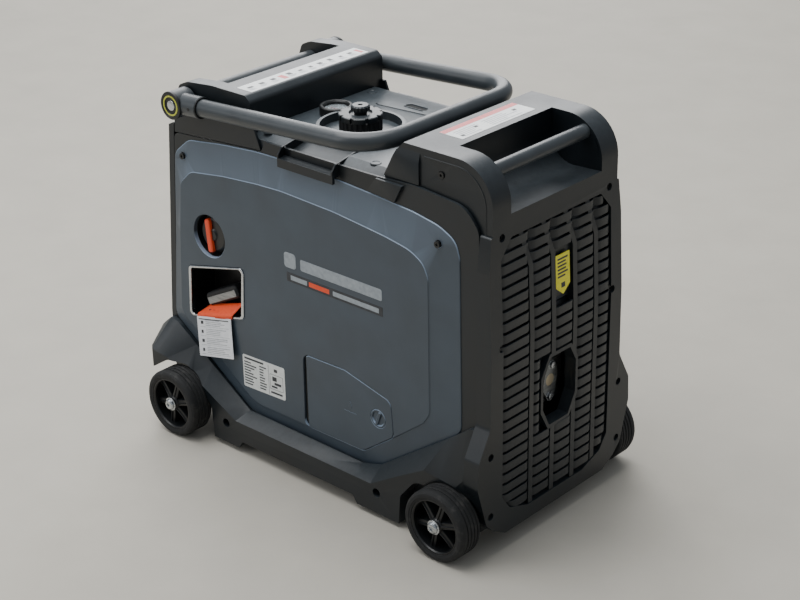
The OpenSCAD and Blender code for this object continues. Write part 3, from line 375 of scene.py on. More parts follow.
class Shell:
    """Collects surfaces into one mesh, in millimetres, and turns it into a finished piece."""

    def __init__(self):
        self.points, self.faces, self.count = [], [], 0

    def add(self, points, faces):
        """Adds points (n, 3) and faces as rows of indices."""
        self.points.append(np.asarray(points, float).reshape(-1, 3))
        self.faces += (np.asarray(faces) + self.count).tolist()
        self.count += len(self.points[-1])
        return self

    def grid(self, p, round_u=False, round_v=False, flip=False):
        """A surface P(u, v) as quads between neighbouring rows and columns, closed where it goes round."""
        nu, nv = p.shape[:2]
        rows, columns = nu if round_u else nu - 1, nv if round_v else nv - 1
        i, j = np.meshgrid(np.arange(rows), np.arange(columns), indexing="ij")
        i2, j2 = (i + 1) % nu, (j + 1) % nv
        quads = np.stack([i * nv + j, i2 * nv + j, i2 * nv + j2, i * nv + j2], -1).reshape(-1, 4)
        return self.add(p, quads[:, ::-1] if flip else quads)

    def lathe(self, profile, centre, axis, turns=96, wave=None):
        """Profile (r, h) turned about an axis: centre + h a + r (e cos t + f sin t). wave(t, h) scales r."""
        profile = np.asarray(profile, float)
        a = unit(axis)
        e = unit(np.cross(a, (0.3, 0.2, 1.0) if abs(a[2]) < 0.9 else (1.0, 0, 0)))
        f = np.cross(a, e)
        t = np.linspace(0, 2 * math.pi, turns, endpoint=False)[:, None]
        r = profile[None, :, 0] * np.ones_like(t)
        h = profile[None, :, 1] * np.ones_like(t)
        if wave is not None:
            r = wave(t, r, h)
        p = np.asarray(centre, float) + h[..., None] * a + r[..., None] * (
            np.cos(t)[..., None] * e + np.sin(t)[..., None] * f)
        return self.grid(p, round_u=True)

    def sweep(self, path, normal, section):
        """A closed section (b, n) carried along a flat path: P = path + b (n x tangent) + n normal."""
        path = np.asarray(path, float)
        tangent = unit(np.gradient(path, axis=0))
        normal = np.asarray(normal, float)
        side = np.cross(normal, tangent)
        section = np.asarray(section, float)
        p = path[:, None] + section[None, :, :1] * side[:, None] + section[None, :, 1:] * normal
        self.grid(p, round_v=True, flip=True)
        for row, flip in ((p[0], True), (p[-1], False)):
            ring = np.concatenate([row, row.mean(0)[None]])
            k = np.arange(len(row))
            fan = np.stack([k, (k + 1) % len(row), np.full(len(row), len(row))], 1)
            self.add(ring, fan[:, ::-1] if flip else fan)
        return self

    def fill(self, place, loops, height, holes=(), flip=False):
        """A flat region between loops, triangulated, each point raised to height(points)."""
        points, edges = [], []
        for loop in list(loops) + list(holes):
            start, n = len(points), len(loop)
            points += [Vector(q) for q in loop]
            edges += [(start + k, start + (k + 1) % n) for k in range(n)]
        out = delaunay_2d_cdt(points, edges, [], 1, 1e-6)
        flat = np.array([tuple(q) for q in out[0]], float)
        tris = np.array([t for t in out[2] if len(t) == 3], int)
        middle = flat[tris].mean(1)
        keep = within(middle, np.asarray(loops[0]))
        for hole in holes:
            keep &= ~within(middle, np.asarray(hole))
        tris = tris[keep]
        return self.add(place.at(flat[:, 0], flat[:, 1], height(flat)), tris[:, ::-1] if flip else tris)

    def slab(self, place, outline, top, back, edge=1.0, holes=(), loops=(), hole_edge=0.6, steps=3,
             hole_back=None):
        """A moulded plate: face at height top(points), rim and holes rounded by quarter circles
        inset = e (1 - cos a), drop = e (1 - sin a), and walls down to the back."""
        outline = anticlockwise(np.asarray(outline, float))
        holes = [anticlockwise(np.asarray(q, float)) for q in holes]
        rise = (lambda q: np.full(len(q), float(top))) if not callable(top) else top
        a = np.linspace(0, math.pi / 2, steps + 1)

        def rim(loop, radius, inwards, low):
            rings = [inset(loop, inwards * radius * (1 - math.cos(k))) for k in a]
            face = rise(rings[-1])
            rows = [place.at(loop[:, 0], loop[:, 1], low)]
            rows += [place.at(q[:, 0], q[:, 1], face - radius * (1 - math.sin(k))) for q, k in zip(rings, a)]
            self.grid(np.stack(rows), round_v=True, flip=inwards > 0)
            return rings[-1]

        face_outline = rim(outline, edge, 1, back)
        face_holes = [rim(q, hole_edge, -1, back if hole_back is None else hole_back) for q in holes]
        self.fill(place, [face_outline] + [np.asarray(q) for q in loops], rise, face_holes)
        if hole_back is None:
            self.fill(place, [outline], lambda q: np.full(len(q), float(back)), holes, flip=True)
        else:
            self.fill(place, [outline], lambda q: np.full(len(q), float(back)), flip=True)
            for q in holes:
                self.fill(place, [q], lambda w: np.full(len(w), float(hole_back)))
        return self

    def bars(self, place, cells, low, high):
        """Closed boxes over rows (u0, v0, u1, v1) between two heights: 8 corners and 6 faces each."""
        c = np.asarray(cells, float).reshape(-1, 4)
        u = np.stack([c[:, 0], c[:, 2], c[:, 2], c[:, 0]] * 2, 1)
        v = np.stack([c[:, 1], c[:, 1], c[:, 3], c[:, 3]] * 2, 1)
        h = np.repeat([[low] * 4 + [high] * 4], len(c), 0)
        box = np.array([[3, 2, 1, 0], [4, 5, 6, 7], [0, 1, 5, 4], [1, 2, 6, 5], [2, 3, 7, 6], [3, 0, 4, 7]])
        faces = (np.arange(len(c))[:, None, None] * 8 + box[None]).reshape(-1, 4)
        return self.add(place.at(u, v, h), faces)

    def piece(self, name, material, slot, body="chassis", replaces=(), sharp=38):
        """The collected mesh as an object at the origin, smooth except at creases, riding on a body."""
        mesh = bpy.data.meshes.new(name)
        mesh.from_pydata((np.concatenate(self.points) * MM).tolist(), [], self.faces)
        bm = bmesh.new()
        bm.from_mesh(mesh)
        bmesh.ops.remove_doubles(bm, verts=bm.verts, dist=2e-6)
        bmesh.ops.dissolve_degenerate(bm, edges=bm.edges, dist=1e-6)
        bm.to_mesh(mesh)
        bm.free()
        return dress_mesh(name, mesh, material, body, replaces, sharp)

    def skin(self, node, material, sharp=38):
        """The collected mesh in place of a CAD node, on that node's body."""
        return self.piece(node + "_skin", material, SLOT[node], BODY[node], (node,), sharp)


def dress_mesh(name, mesh, material, body, replaces, sharp=38, weighted=True):
    """Shades a mesh, gives it a finish and links it as a piece of the machine."""
    mesh.validate()
    mesh.shade_smooth()
    mesh.set_sharp_from_angle(angle=math.radians(sharp))
    mesh.materials.append(M[material])
    piece = bpy.data.objects.new(name, mesh)
    bpy.context.scene.collection.objects.link(piece)
    if weighted:
        even = piece.modifiers.new("even_normals", "WEIGHTED_NORMAL")
        even.keep_sharp = True
    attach(piece, body)
    if replaces:
        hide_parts(*replaces)
    return piece


SLOT = {entry["node"]: entry["material_slot"] for entry in frame["record"]["subparts"]}
BODY = {node: body for body, nodes in frame["record"]["behaviour"]["bodies"].items() for node in nodes}


def eased(node, radius, material, small):
    """A merged copy of a CAD node whose long edges are rounded by radius,
    and short ones, such as hole rims, by less."""
    source = frame["nodes"][node]
    bm = bmesh.new()
    bm.from_mesh(source.data)
    bmesh.ops.remove_doubles(bm, verts=bm.verts, dist=1e-5)
    bmesh.ops.dissolve_limit(bm, angle_limit=math.radians(0.5), verts=bm.verts, edges=bm.edges)
    weight = bm.edges.layers.float.new("bevel_weight_edge")
    for edge in bm.edges:
        if len(edge.link_faces) == 2 and edge.calc_face_angle(0) > math.radians(25):
            length = edge.calc_length() / MM
            share = max(small / radius, min(1.0, 0.35 * length / radius))
            edge[weight] = 1.0 if length > 2.5 * radius else share
    mesh = bpy.data.meshes.new(node + "_eased")
    bm.to_mesh(mesh)
    bm.free()
    piece = dress_mesh(node + "_skin", mesh, material, BODY[node], (node,), 40, weighted=False)
    bevel = piece.modifiers.new("eased_edges", "BEVEL")
    bevel.limit_method, bevel.width, bevel.segments = "WEIGHT", radius * MM, 3
    bevel.use_clamp_overlap, bevel.harden_normals = True, True


def paint(node, material):
    """Gives a CAD node that is shown as it is its finish."""
    shown = frame["nodes"][node]
    shown.data.materials.clear()
    shown.data.materials.append(M[material])


# ------------------------------------------------------------------ outlines shared with the solid model
PANEL = [(-275, 440), (-243, 466), (-170, 476), (-100, 482), (-40, 483), (55, 480), (131, 475), (190, 470),
         (235, 462), (262, 448), (269, 425), (271, 176), (255, 157), (128, 67), (94, 58), (-138, 58),
         (-300, 172), (-284, 330)]
PANEL_R = [26, 30, 200, 300, 300, 300, 300, 200, 80, 30, 30, 18, 20, 40, 40, 60, 20, 300]
FIELD = [(-262, 398), (-238, 420), (-170, 430), (-100, 436), (-52, 438), (50, 434), (110, 428), (146, 424),
         (188, 417), (210, 404), (219, 385), (219, 184), (208, 166), (112, 92), (88, 80), (-128, 80),
         (-281, 184), (-271, 320)]
WINDOW = [(-253, 266), (-137, 295), (-143, 214), (-258, 185)]
WINDOW_MID = (-198, 240)
OIL = [(-21, 197), (61, 199), (148, 178), (152, 124), (93, 80), (-23, 79)]
OIL_MID = (60, 140)
OIL_HINGE_X, OIL_HINGE_ENDS = -18.5, (92, 184)
SPARK = [(-64, 58), (80, 74), (80, 116), (-46, 116)]
SPARK_MID = (7, 88)
PANEL_SCREWS = [(-255, 439), (234, 437)]


def panel_face(outer, field):
    """Height of the coloured panel: a band that slopes from -4.6 at the rim to -1.5 at the field's edge,
    by the ratio of the two distances, then a 1.2 wide fillet up to the flat field at 0."""
    def height(q):
        rim, crease = away(q, outer), away(q, field)
        band = -4.6 + 3.1 * rim / np.maximum(rim + crease, 1e-9)
        return np.where(within(q, field), -1.5 + 1.5 * np.minimum(1, crease / 1.2), band)
    return height


def side_panel(place, node, holes, sign):
    """One coloured side cover with its sloping border."""
    flip = np.array([sign, 1])
    outer = anticlockwise(rounded(np.array(PANEL) * flip, PANEL_R))
    field = anticlockwise(rounded(np.array(FIELD) * flip, np.array(PANEL_R) * 0.9))
    shell = Shell()
    shift = Place(np.array(place.origin) + place.up * PANEL_Y, place.ex, place.ey)
    shell.slab(shift, outer, panel_face(outer, field), -6.0, edge=1.4, holes=holes, hole_edge=0.8,
               loops=[field, inset(field, 1.2)])
    shell.skin(node, "panel", sharp=50)


def in_handle(points):
    """Handle-plane coordinates turned up by the folded slope and moved to the pivot."""
    p = np.asarray(points, float)
    c, s = math.cos(SLOPE), math.sin(SLOPE)
    x, z = PIVOT[0] + p[..., 0] * c - p[..., 2] * s, PIVOT[1] + p[..., 0] * s + p[..., 2] * c
    return np.stack([x, p[..., 1], z], -1)


def on_side(place_y, side):
    """Working plane on the near (-1) or far (+1) side at a distance from the middle."""
    base = NEAR if side < 0 else FAR
    return Place(base.up * place_y, base.ex, base.ey)


PANEL_SIDE = on_side(PANEL_Y, -1)


def oblong(u0, v0, u1, v1):
    """The four corners of a rectangle, anticlockwise."""
    return [(u0, v0), (u1, v0), (u1, v1), (u0, v1)]


def film(place, name, material, slot, outline, top=0.3, back=-0.2, edge=0.15):
    """A thin film, card or plate lying on a face."""
    Shell().slab(place, outline, top, back, edge=edge).piece(name, material, slot)


def print_on(place, name, ink, slot, *layers):
    """Raised marks on a face. A layer is a list of cells (u0, v0, u1, v1) and its lower and upper heights."""
    shell = Shell()
    for cells, low, high in layers:
        shell.bars(place, cells, low, high)
    shell.piece(name, ink, slot)


def marks(seed, u0, v0, u1, v1, rows, fill=0.62, ragged=0.5):
    """Rows of short bars of seeded lengths that stand for a block of print: (u0, v0, u1, v1) each."""
    rng = np.random.default_rng(seed)
    pitch = (v1 - v0) / rows
    low = v0 + (np.arange(rows) + 0.5 - fill / 2) * pitch
    length = (u1 - u0) * (1 - ragged * rng.random(rows))
    return np.stack([np.full(rows, u0), low, u0 + length, low + fill * pitch], 1)


# ------------------------------------------------------------------ settings
class GeneratorSettings(bpy.types.PropertyGroup):
    """Sizes and colours that a user may want to change."""
    edge_radius: FloatProperty(name="Casing edge", default=3.5, min=0.5, max=6.0,
                               description="Radius of the casing's long moulded edges, in mm")
    tube_facets: IntProperty(name="Tube facets", default=48, min=16, max=96,
                             description="Sides of the handle tube")
    floor_size: FloatProperty(name="Floor", description="Length of the floor's side", default=14.0, min=4.0,
                              subtype="DISTANCE", unit="LENGTH")
    floor_colour: FloatVectorProperty(name="Floor colour", description="Pale floor", subtype="COLOR",
                                      default=srgb("#b9b4a9")[:3], min=0.0, max=1.0)
    key_power: FloatProperty(name="Key light", default=110.0, min=1.0,
                             description="Power of the overhead softbox, in watts")


class PieceOperator:
    """What every piece operator shares: undo support and access to the settings."""
    bl_options = {"REGISTER", "UNDO"}

    def execute(self, context):
        self.build(context.scene.generator)
        return {"FINISHED"}


# ------------------------------------------------------------------ pieces
class GENERATOR_OT_side_panels(PieceOperator, bpy.types.Operator):
    """Coloured side covers, the oil access cover and its quarter-turn knob"""
    bl_idname = "generator.side_panels"
    bl_label = "Side panels"

    def build(self, settings):
        screws = [circle(x, z, 5, 32) for x, z in PANEL_SCREWS]
        side_panel(NEAR, "side_panel_near", screws + [
            circle(*DIAL, 33, 64), rounded(grown(WINDOW, WINDOW_MID, 3), 8), rounded(OIL, 12)], 1)
        louvres = [np.array(oblong(u - 9, z - 3.5, u + 9, z + 3.5))
                   for u in 190 - 26 * np.arange(7) for z in 250 + 20 * np.arange(6)]
        side_panel(FAR, "side_panel_far", [circle(-x, z, 5, 32) for x, z in PANEL_SCREWS]
                   + [rounded(q, 2.5, 3) for q in louvres], -1)
        seat = Shell().slab(on_side(138.6, -1), rounded(grown(OIL, OIL_MID, 4), 12), 0, -2, edge=0.4,
                            holes=[rounded(grown(OIL, OIL_MID, -8), 10)])
        seat.piece("oil_cover_seat", "trim", "panel_paint")
        outline = rounded(grown(OIL, OIL_MID, -0.9), 12)
        beyond_hinge = (outline[:, 1] < OIL_HINGE_ENDS[0]) | (outline[:, 1] > OIL_HINGE_ENDS[1])
        outline[:, 0] = np.maximum(outline[:, 0], OIL_HINGE_X + 3 * beyond_hinge)
        cover = Shell().slab(PANEL_SIDE, outline, -0.1, -2.5, edge=0.9,
                             holes=[circle(123, 143, 14.3, 48)])
        drop_t = np.linspace(0, 2 * math.pi, 28, endpoint=False)
        drop = np.stack([70 + 4.2 * np.sin(drop_t) * np.sin(drop_t / 2) ** 1.5,
                         146 + 6.5 * np.cos(drop_t)], 1)
        cover.slab(PANEL_SIDE, drop, 0.25, -0.2, edge=0.2)
        cover.bars(PANEL_SIDE, [(58, 134, 82, 135)], -0.2, 0.2)
        cover.skin("oil_cover", "panel")
        knob = Shell().lathe(softened([(0, 0), (14, 0), (14, 3), (11.2, 3), (10.2, 1.0), (0, 1.0)],
                                      [0, 0.3, 0.8, 0.6, 0.6, 0]), (123, -PANEL_Y + 3, 143), (0, -1, 0), 64)
        turned = math.radians(20)
        grip = Place((123, -PANEL_Y + 3, 143), (math.cos(turned), 0, -math.sin(turned)),
                     (math.sin(turned), 0, math.cos(turned)))
        knob.slab(grip, rounded(oblong(-2.4, -11.5, 2.4, 11.5), 2), 3.4, 0.5, edge=0.8)
        knob.skin("oil_cover_knob", "panel")


class GENERATOR_OT_casing(PieceOperator, bpy.types.Operator):
    """Black casing mouldings with eased edges: skirts, side walls, covers, tower and grille"""
    bl_idname = "generator.casing"
    bl_label = "Casing"

    def build(self, settings):
        r = settings.edge_radius
        for node, radius in (("skirt_near", r + 1), ("skirt_far", r + 1), ("rear_frame", r),
                             ("front_housing", r), ("side_frame_near", 1.5), ("side_frame_far", 1.5),
                             ("front_cover", 2.0), ("spill_chute", 0.8), ("exhaust_grille", 0.8),
                             ("base_tray", 1.5)):
            eased(node, radius, "casing", small=0.5)
        eased("top_cover", 1.5, "deck", small=0.5)
        self.louvres()
        self.tower_beads()

    @staticmethod
    def tower_beads():
        """Thin bead on each side face of the tower: line, quarter arc (x, z) + r (cos t, sin t), line."""
        (x, z), r = TOWER_ARC
        t = np.linspace(math.pi / 2, 0, 40)
        bead = np.concatenate([[(205.0, z + r)], np.stack([x + r * np.cos(t), z + r * np.sin(t)], 1),
                               [(x + r + 1, 432.0)]])
        section = [(-1.1, -0.6), (-1.1, 0.2), (-0.4, 0.7), (0.4, 0.7), (1.1, 0.2), (1.1, -0.6)]
        for side, name in ((-1, "near"), (1, "far")):
            path = np.stack([bead[:, 0], np.full(len(bead), side * 131.0), bead[:, 1]], 1)
            facing = section[::-1] if side > 0 else [(b, -n) for b, n in section]
            Shell().sweep(path, (0, 1, 0), facing).piece("tower_bead_" + name, "casing", "black_plastic")

    @staticmethod
    def louvres():
        """Rounded lips of the louvres: section (b, n) swept between the ribs, x leaning in above z 305."""
        lips = Shell()
        section = softened([(-9.0, -5.0), (-9.0, 7.0), (-4.0, 5.5), (2.6, 0.4), (2.2, -2.6), (-3.0, -4.6),
                            (-9.0, -5.0)], [0, 0.5, 2.5, 2.0, 1.6, 2.0, 0])[-2::-1]
        bays = [(-113.5, -61), (-50.0, -14.5), (-3.5, 32), (43.0, 78.5), (89.5, 113.5)]
        first_z, pitch, rows, ease = 61.5, 16, 25, 5
        outlet_z, outlet_y = (144, 264), (-38.0, 48.0)
        arrow_z, arrow_y = (330, 412), (-10, 40)
        for z in first_z + pitch * np.arange(rows):
            half = min(114.0, 114 - (z - 430) * 0.8, 100 - (64 - z) * 2.6 if z < 64 else 114 - (86 - z) * 0.7)
            front_x = 315.5 - max(0.0, z - 305) * 7 / 165
            for y0, y1 in bays:
                y0, y1 = max(y0, -half), min(y1, half)
                spans = [(y0, y1)]
                if outlet_z[0] < z < outlet_z[1]:
                    spans = [(y0, min(y1, outlet_y[0])), (max(y0, outlet_y[1]), y1)]
                if arrow_z[0] < z < arrow_z[1] and y0 > arrow_y[0] and y1 < arrow_y[1]:
                    spans = []
                for a, b in spans:
                    if b - a > 6:
                        near = np.array([0, 0.8, 2.5, ease])
                        t = np.concatenate([near, b - a - near[::-1]])
                        x = front_x - 3.5 * (1 - np.minimum(1, np.minimum(t, b - a - t) / ease)) ** 2
                        lips.sweep(np.stack([x, a + t, np.full(8, z)], 1), (0, 0, 1), section)
        lips.piece("louvre_lips", "casing", SLOT["exhaust_grille"], sharp=50)


class GENERATOR_OT_handle(PieceOperator, bpy.types.Operator):
    """Transport handle: bent tube, pivot sleeves, end caps, pivot tube and the rear grab bar"""
    bl_idname = "generator.handle"
    bl_label = "Handle"

    def build(self, settings):
        half, reach, bend, start = 152.6, 372.0, 58.0, 24.0
        turn = np.linspace(0, math.pi / 2, 20)
        corner = np.stack([reach - bend + bend * np.sin(turn), half - bend + bend * np.cos(turn)], 1)
        leg = np.stack([np.linspace(start, reach - bend, 8)[:-1], np.full(7, half)], 1)
        right = np.concatenate([leg, corner])
        flat = np.concatenate([right, right[::-1] * (1, -1)])
        path = in_handle(np.column_stack([flat, np.zeros(len(flat))]))
        up = in_handle([0, 0, 1]) - in_handle([0, 0, 0])
        tube = Shell().sweep(path, up, circle(0, 0, TUBE_R, settings.tube_facets))
        tube.skin("handle_tube", "tube", sharp=60)
        tees, caps, dark = Shell(), Shell(), Shell()
        along = in_handle([1, 0, 0]) - in_handle([0, 0, 0])
        pivot = in_handle([0, 0, 0])
        for side, word in ((-1, "near"), (1, "far")):
            axis, socket = (0, side, 0), in_handle([0, side * half, 0])
            tees.lathe(softened([(13, 136.6), (20, 136.6), (20, 165.8), (13, 165.8)], [0, 1.6, 1.0, 0]),
                       pivot, axis, 64)
            tees.lathe(softened([(12.6, 6), (15.9, 6), (15.9, 47.2), (14.9, 48), (12.6, 48)],
                                [0, 0.5, 0.8, 0.5, 0]), socket, along, 64)
            dark.lathe([(12.4, 47.6), (15.2, 47.6), (15.2, 49.0), (12.4, 49.0)], socket, along, 64)
            dark.lathe(softened([(0, 15.2), (2.4, 15.2), (2.7, 16.3), (0, 16.4)], [0, 0.2, 0.4, 0]),
                       in_handle([36, side * half, 0]), axis, 24)
            caps.lathe(softened([(0, 166), (20.5, 166), (20.5, 170), (17.0, 170.2), (15.2, 169.4),
                                 (13, 169.4), (11.6, 168.2), (0, 168.2)],
                                [0, 0.3, 1.2, 0.6, 0.5, 0.5, 0.4, 0]), pivot, axis, 72)
            ring = Shell().lathe([(12.6, 169.3), (14.9, 169.3), (14.9, 169.75), (12.6, 169.75)],
                                 pivot, axis, 72)
            ring.piece("tee_cap_ring_" + word, "ring", SLOT["tee_caps"], "handle")
            boss = Shell().lathe(softened([(0, 168.3), (7.6, 168.3), (7.2, 169.2), (3.2, 169.7), (0, 169.3)],
                                          [0, 0.3, 0.5, 0.6, 0]), pivot, axis, 40)
            boss.piece("tee_cap_boss_" + word, "chrome", SLOT["tee_caps"], "handle")
        tees.skin("handle_tees", "tube")
        caps.skin("tee_caps", "trim")
        dark.piece("handle_sleeve_seals", "trim", SLOT["tee_caps"], "handle")
        bar = Shell().lathe(
            softened([(0, -164.9), (12.65, -164.9), (12.65, 164.9), (0, 164.9)], [0, 1, 1, 0]),
            (PIVOT[0], 0, PIVOT[1]), (0, 1, 0), settings.tube_facets)
        bar.skin("pivot_tube", "tube")
        grab = Shell().lathe([(0, -106.5), (10, -106.5), (10, 106.5), (0, 106.5)], (287.5, 0, 537), (0, 1, 0),
                             settings.tube_facets)
        grab.skin("grab_bar", "tube")


class GENERATOR_OT_wheels(PieceOperator, bpy.types.Operator):
    """Four wheels: grooved solid tyres, ribbed spoke hubs and zinc axle bolts"""
    bl_idname = "generator.wheels"
    bl_label = "Wheels"

    def build(self, settings):
        tread = [(40.6, 157.2), (47, 156.3), (50.4, 157.6), (52.5, 160.6)]
        for i in range(4):
            h = 163.2 + 6.4 * i
            tread += [(52.5, h), (50.6, h + 0.4), (50.6, h + 2.0), (52.5, h + 2.4)]
        tread += [(52.5, 189.6), (51.4, 193.4), (48.6, 195.6), (44.2, 196.0), (43.6, 195.2), (42.4, 195.2),
                  (40.6, 194.6), (40.6, 157.2)]
        hub_profile = softened([(5.1, 152.2), (11, 152.2), (11, 163), (36.5, 164), (36.5, 158), (40.5, 158),
                                (40.5, 194), (38.8, 194.4), (37.2, 192), (36.6, 166.5), (12, 166.5),
                                (11.5, 189), (9.5, 191.8), (5.1, 192)],
                               [0, 0.5, 1, 0.5, 0.5, 0.5, 0.6, 0.8, 1, 1, 1, 1, 1, 0], 3)
        bolt_profile = softened([(5, 108), (5, 193), (10.5, 193.2), (10.5, 194.8), (8.4, 195.2),
                                 (8.4, 197.2), (6.6, 199.2), (3.0, 199.9), (2.6, 197.6), (0, 197.4)],
                                [0, 0, 0.3, 0.3, 0.2, 0.8, 1.2, 0.4, 0.2, 0], 3)
        bolts = Shell()
        for end, x in (("front", -260.0), ("rear", 270.0)):
            for side, word in ((-1, "near"), (1, "far")):
                centre, axis = (x, 0, WHEEL_R), (0, side, 0)
                tag = end + "_" + word
                Shell().lathe(softened(tread, 0.6, 2), centre, axis, 128).skin(
                    "tyre_" + tag, "tyre", sharp=50)
                hub = Shell().lathe(hub_profile, centre, axis, 96)
                self.spokes(hub, centre, side)
                hub.skin("hub_" + tag, "trim")
                bolts.lathe(bolt_profile, centre, axis, 48)
        bolts.skin("wheel_bolts", "zinc")

    @staticmethod
    def spokes(hub, centre, side):
        """Six tapered spokes with a raised middle ridge: half width w(r) and height z(r, s) on a grid."""
        r = np.linspace(10, 38, 9)[:, None]
        s = np.array([-1, -0.62, -0.5, -0.12, 0, 0.12, 0.5, 0.62, 1])[None]
        rise = np.array([164, 184, 185.4, 185.8, 187.8, 185.8, 185.4, 184, 164.0])[None]
        width = 8.8 - 0.02 * (r - 10)
        top = rise + 3.2 * ((38 - r) / 28) ** 2 * (rise > 170)
        for k in range(6):
            a = k * math.pi / 3 + 0.26
            er = np.array([math.cos(a), 0, math.sin(a)])
            et = np.array([-math.sin(a), 0, math.cos(a)])
            out = np.array([0, side, 0.0])
            p = np.asarray(centre) + r[..., None] * er + (width * s)[..., None] * et + top[..., None] * out
            hub.grid(p, flip=side > 0)


class GENERATOR_OT_filler(PieceOperator, bpy.types.Operator):
    """Fuel cap, vent knob, fuel gauge and the spark plug access cover on the deck"""
    bl_idname = "generator.filler"
    bl_label = "Filler"

    def build(self, settings):
        ribbed = lambda t, r, h: r + np.where((r > 28.8) & (h < 24), 0.9 * np.tanh(3 * np.cos(24 * t)), 0.0)
        filler, gauge_foot, up = (*FILLER, DECK_Z), (*GAUGE, DECK_Z), (0, 0, 1)
        cap = Shell().lathe(
            softened([(24, 2.5), (29.2, 2.5), (29.2, 12), (29.2, 19.5), (28, 21.0), (20, 21.4)],
                     [0, 0.5, 0, 0.6, 0.4, 0]), filler, up, 288, wave=ribbed)
        cap.piece("fuel_cap_skirt", "grip", SLOT["fuel_cap"], "fuel_cap", ("fuel_cap",))
        notch = lambda t, r, h: r - np.where(r > 25, 3.2 * (np.cos(9 * t) > 0.72), 0.0)
        flange = Shell().lathe(
            softened([(0, 20), (31, 20.4), (31, 27.0), (29.4, 28), (16.5, 28.4), (14.5, 25.6), (4.2, 25.4),
                      (4.2, 16)], [0, 0.4, 0.8, 0.6, 0.8, 0.6, 0.2, 0]), filler, up, 216, wave=notch)
        flange.piece("fuel_cap_flange", "casing", SLOT["fuel_cap"], "fuel_cap")
        lobed = lambda t, r, h: r + np.where((r > 12) & (h > 31), 0.45 * np.cos(16 * t), 0.0)
        knob = Shell().lathe(
            softened([(0, 18), (4, 18), (4, 26.2), (9, 26.2), (9, 31.5), (13, 31.5), (13, 37.2), (11, 39.1),
                      (3.4, 39.1), (2.8, 37.4), (0, 37.4)], [0, 0, 0, 0.4, 0.4, 0.8, 0.8, 1.2, 0.4, 0.3, 0]),
            filler, up, 192, wave=lobed)
        knob.skin("vent_knob", "casing")
        gauge = Shell().lathe(
            softened([(16.9, -7), (20.6, -7), (20.6, 0.2), (24, 0.2), (24, 12.4), (22.6, 14), (19.4, 14),
                      (17.2, 11.5), (17.0, 4.2), (5.2, 4.0)],
                     [0, 0.3, 0.3, 0.5, 1.2, 1.2, 1.0, 1.5, 0.5, 0]), gauge_foot, up, 72)
        gauge.skin("fuel_gauge", "trim")
        dial = Shell().lathe([(0, 4.2), (16.6, 4.2), (16.6, 5.4), (0, 5.4)], gauge_foot, up, 48)
        dial.piece("fuel_gauge_dial", "film", SLOT["gauge_lens"])
        face = Place((*GAUGE, DECK_Z + 5.4), (1, 0, 0), (0, 1, 0))
        print_on(face, "fuel_gauge_needle", "red", SLOT["gauge_lens"],
                 ([(-11, -1.2, 2, 1.2), (-12, 7, -10, 8.4), (9, 7, 11, 8.4)], 0, 0.2))
        paint("gauge_lens", "lens")
        finger = rounded([(-17, 78), (15, 78), (20, 84), (15, 91), (-15, 91), (-20, 84)], 3)
        lid = Shell().slab(DECK, rounded(grown(SPARK, SPARK_MID, -0.9), 8), 1.0, -1.4, edge=0.8,
                           holes=[finger], hole_back=-0.6)
        lid.bars(DECK, [(-18, 76.2, 17, 77.4)], 0.6, 2.0)
        lid.skin("spark_plug_cover", "deck")
        inner = rounded([(-16, 79), (14, 79), (18.6, 84), (14, 90), (-14, 90), (-18.6, 84)], 3)
        pocket = Shell().slab(DECK, inner, -0.4, -1.3, edge=0.1)
        pocket.piece("spark_plug_cover_pocket", "void", SLOT["spark_plug_cover"], "spark_plug_cover")
        bosses = Shell()
        for x, y in ((-93, -118), (103, -112), (103, 118), (-98, 96)):
            bosses.lathe(softened([(8.2, -0.3), (7.4, 1.2), (5.6, 1.2), (5, 0.6), (0, 0.6)],
                                  [0, 0.4, 0.3, 0.2, 0]), (x, y, DECK_Z - 0.4), up, 32)
        bosses.piece("deck_bosses", "deck", "black_plastic")


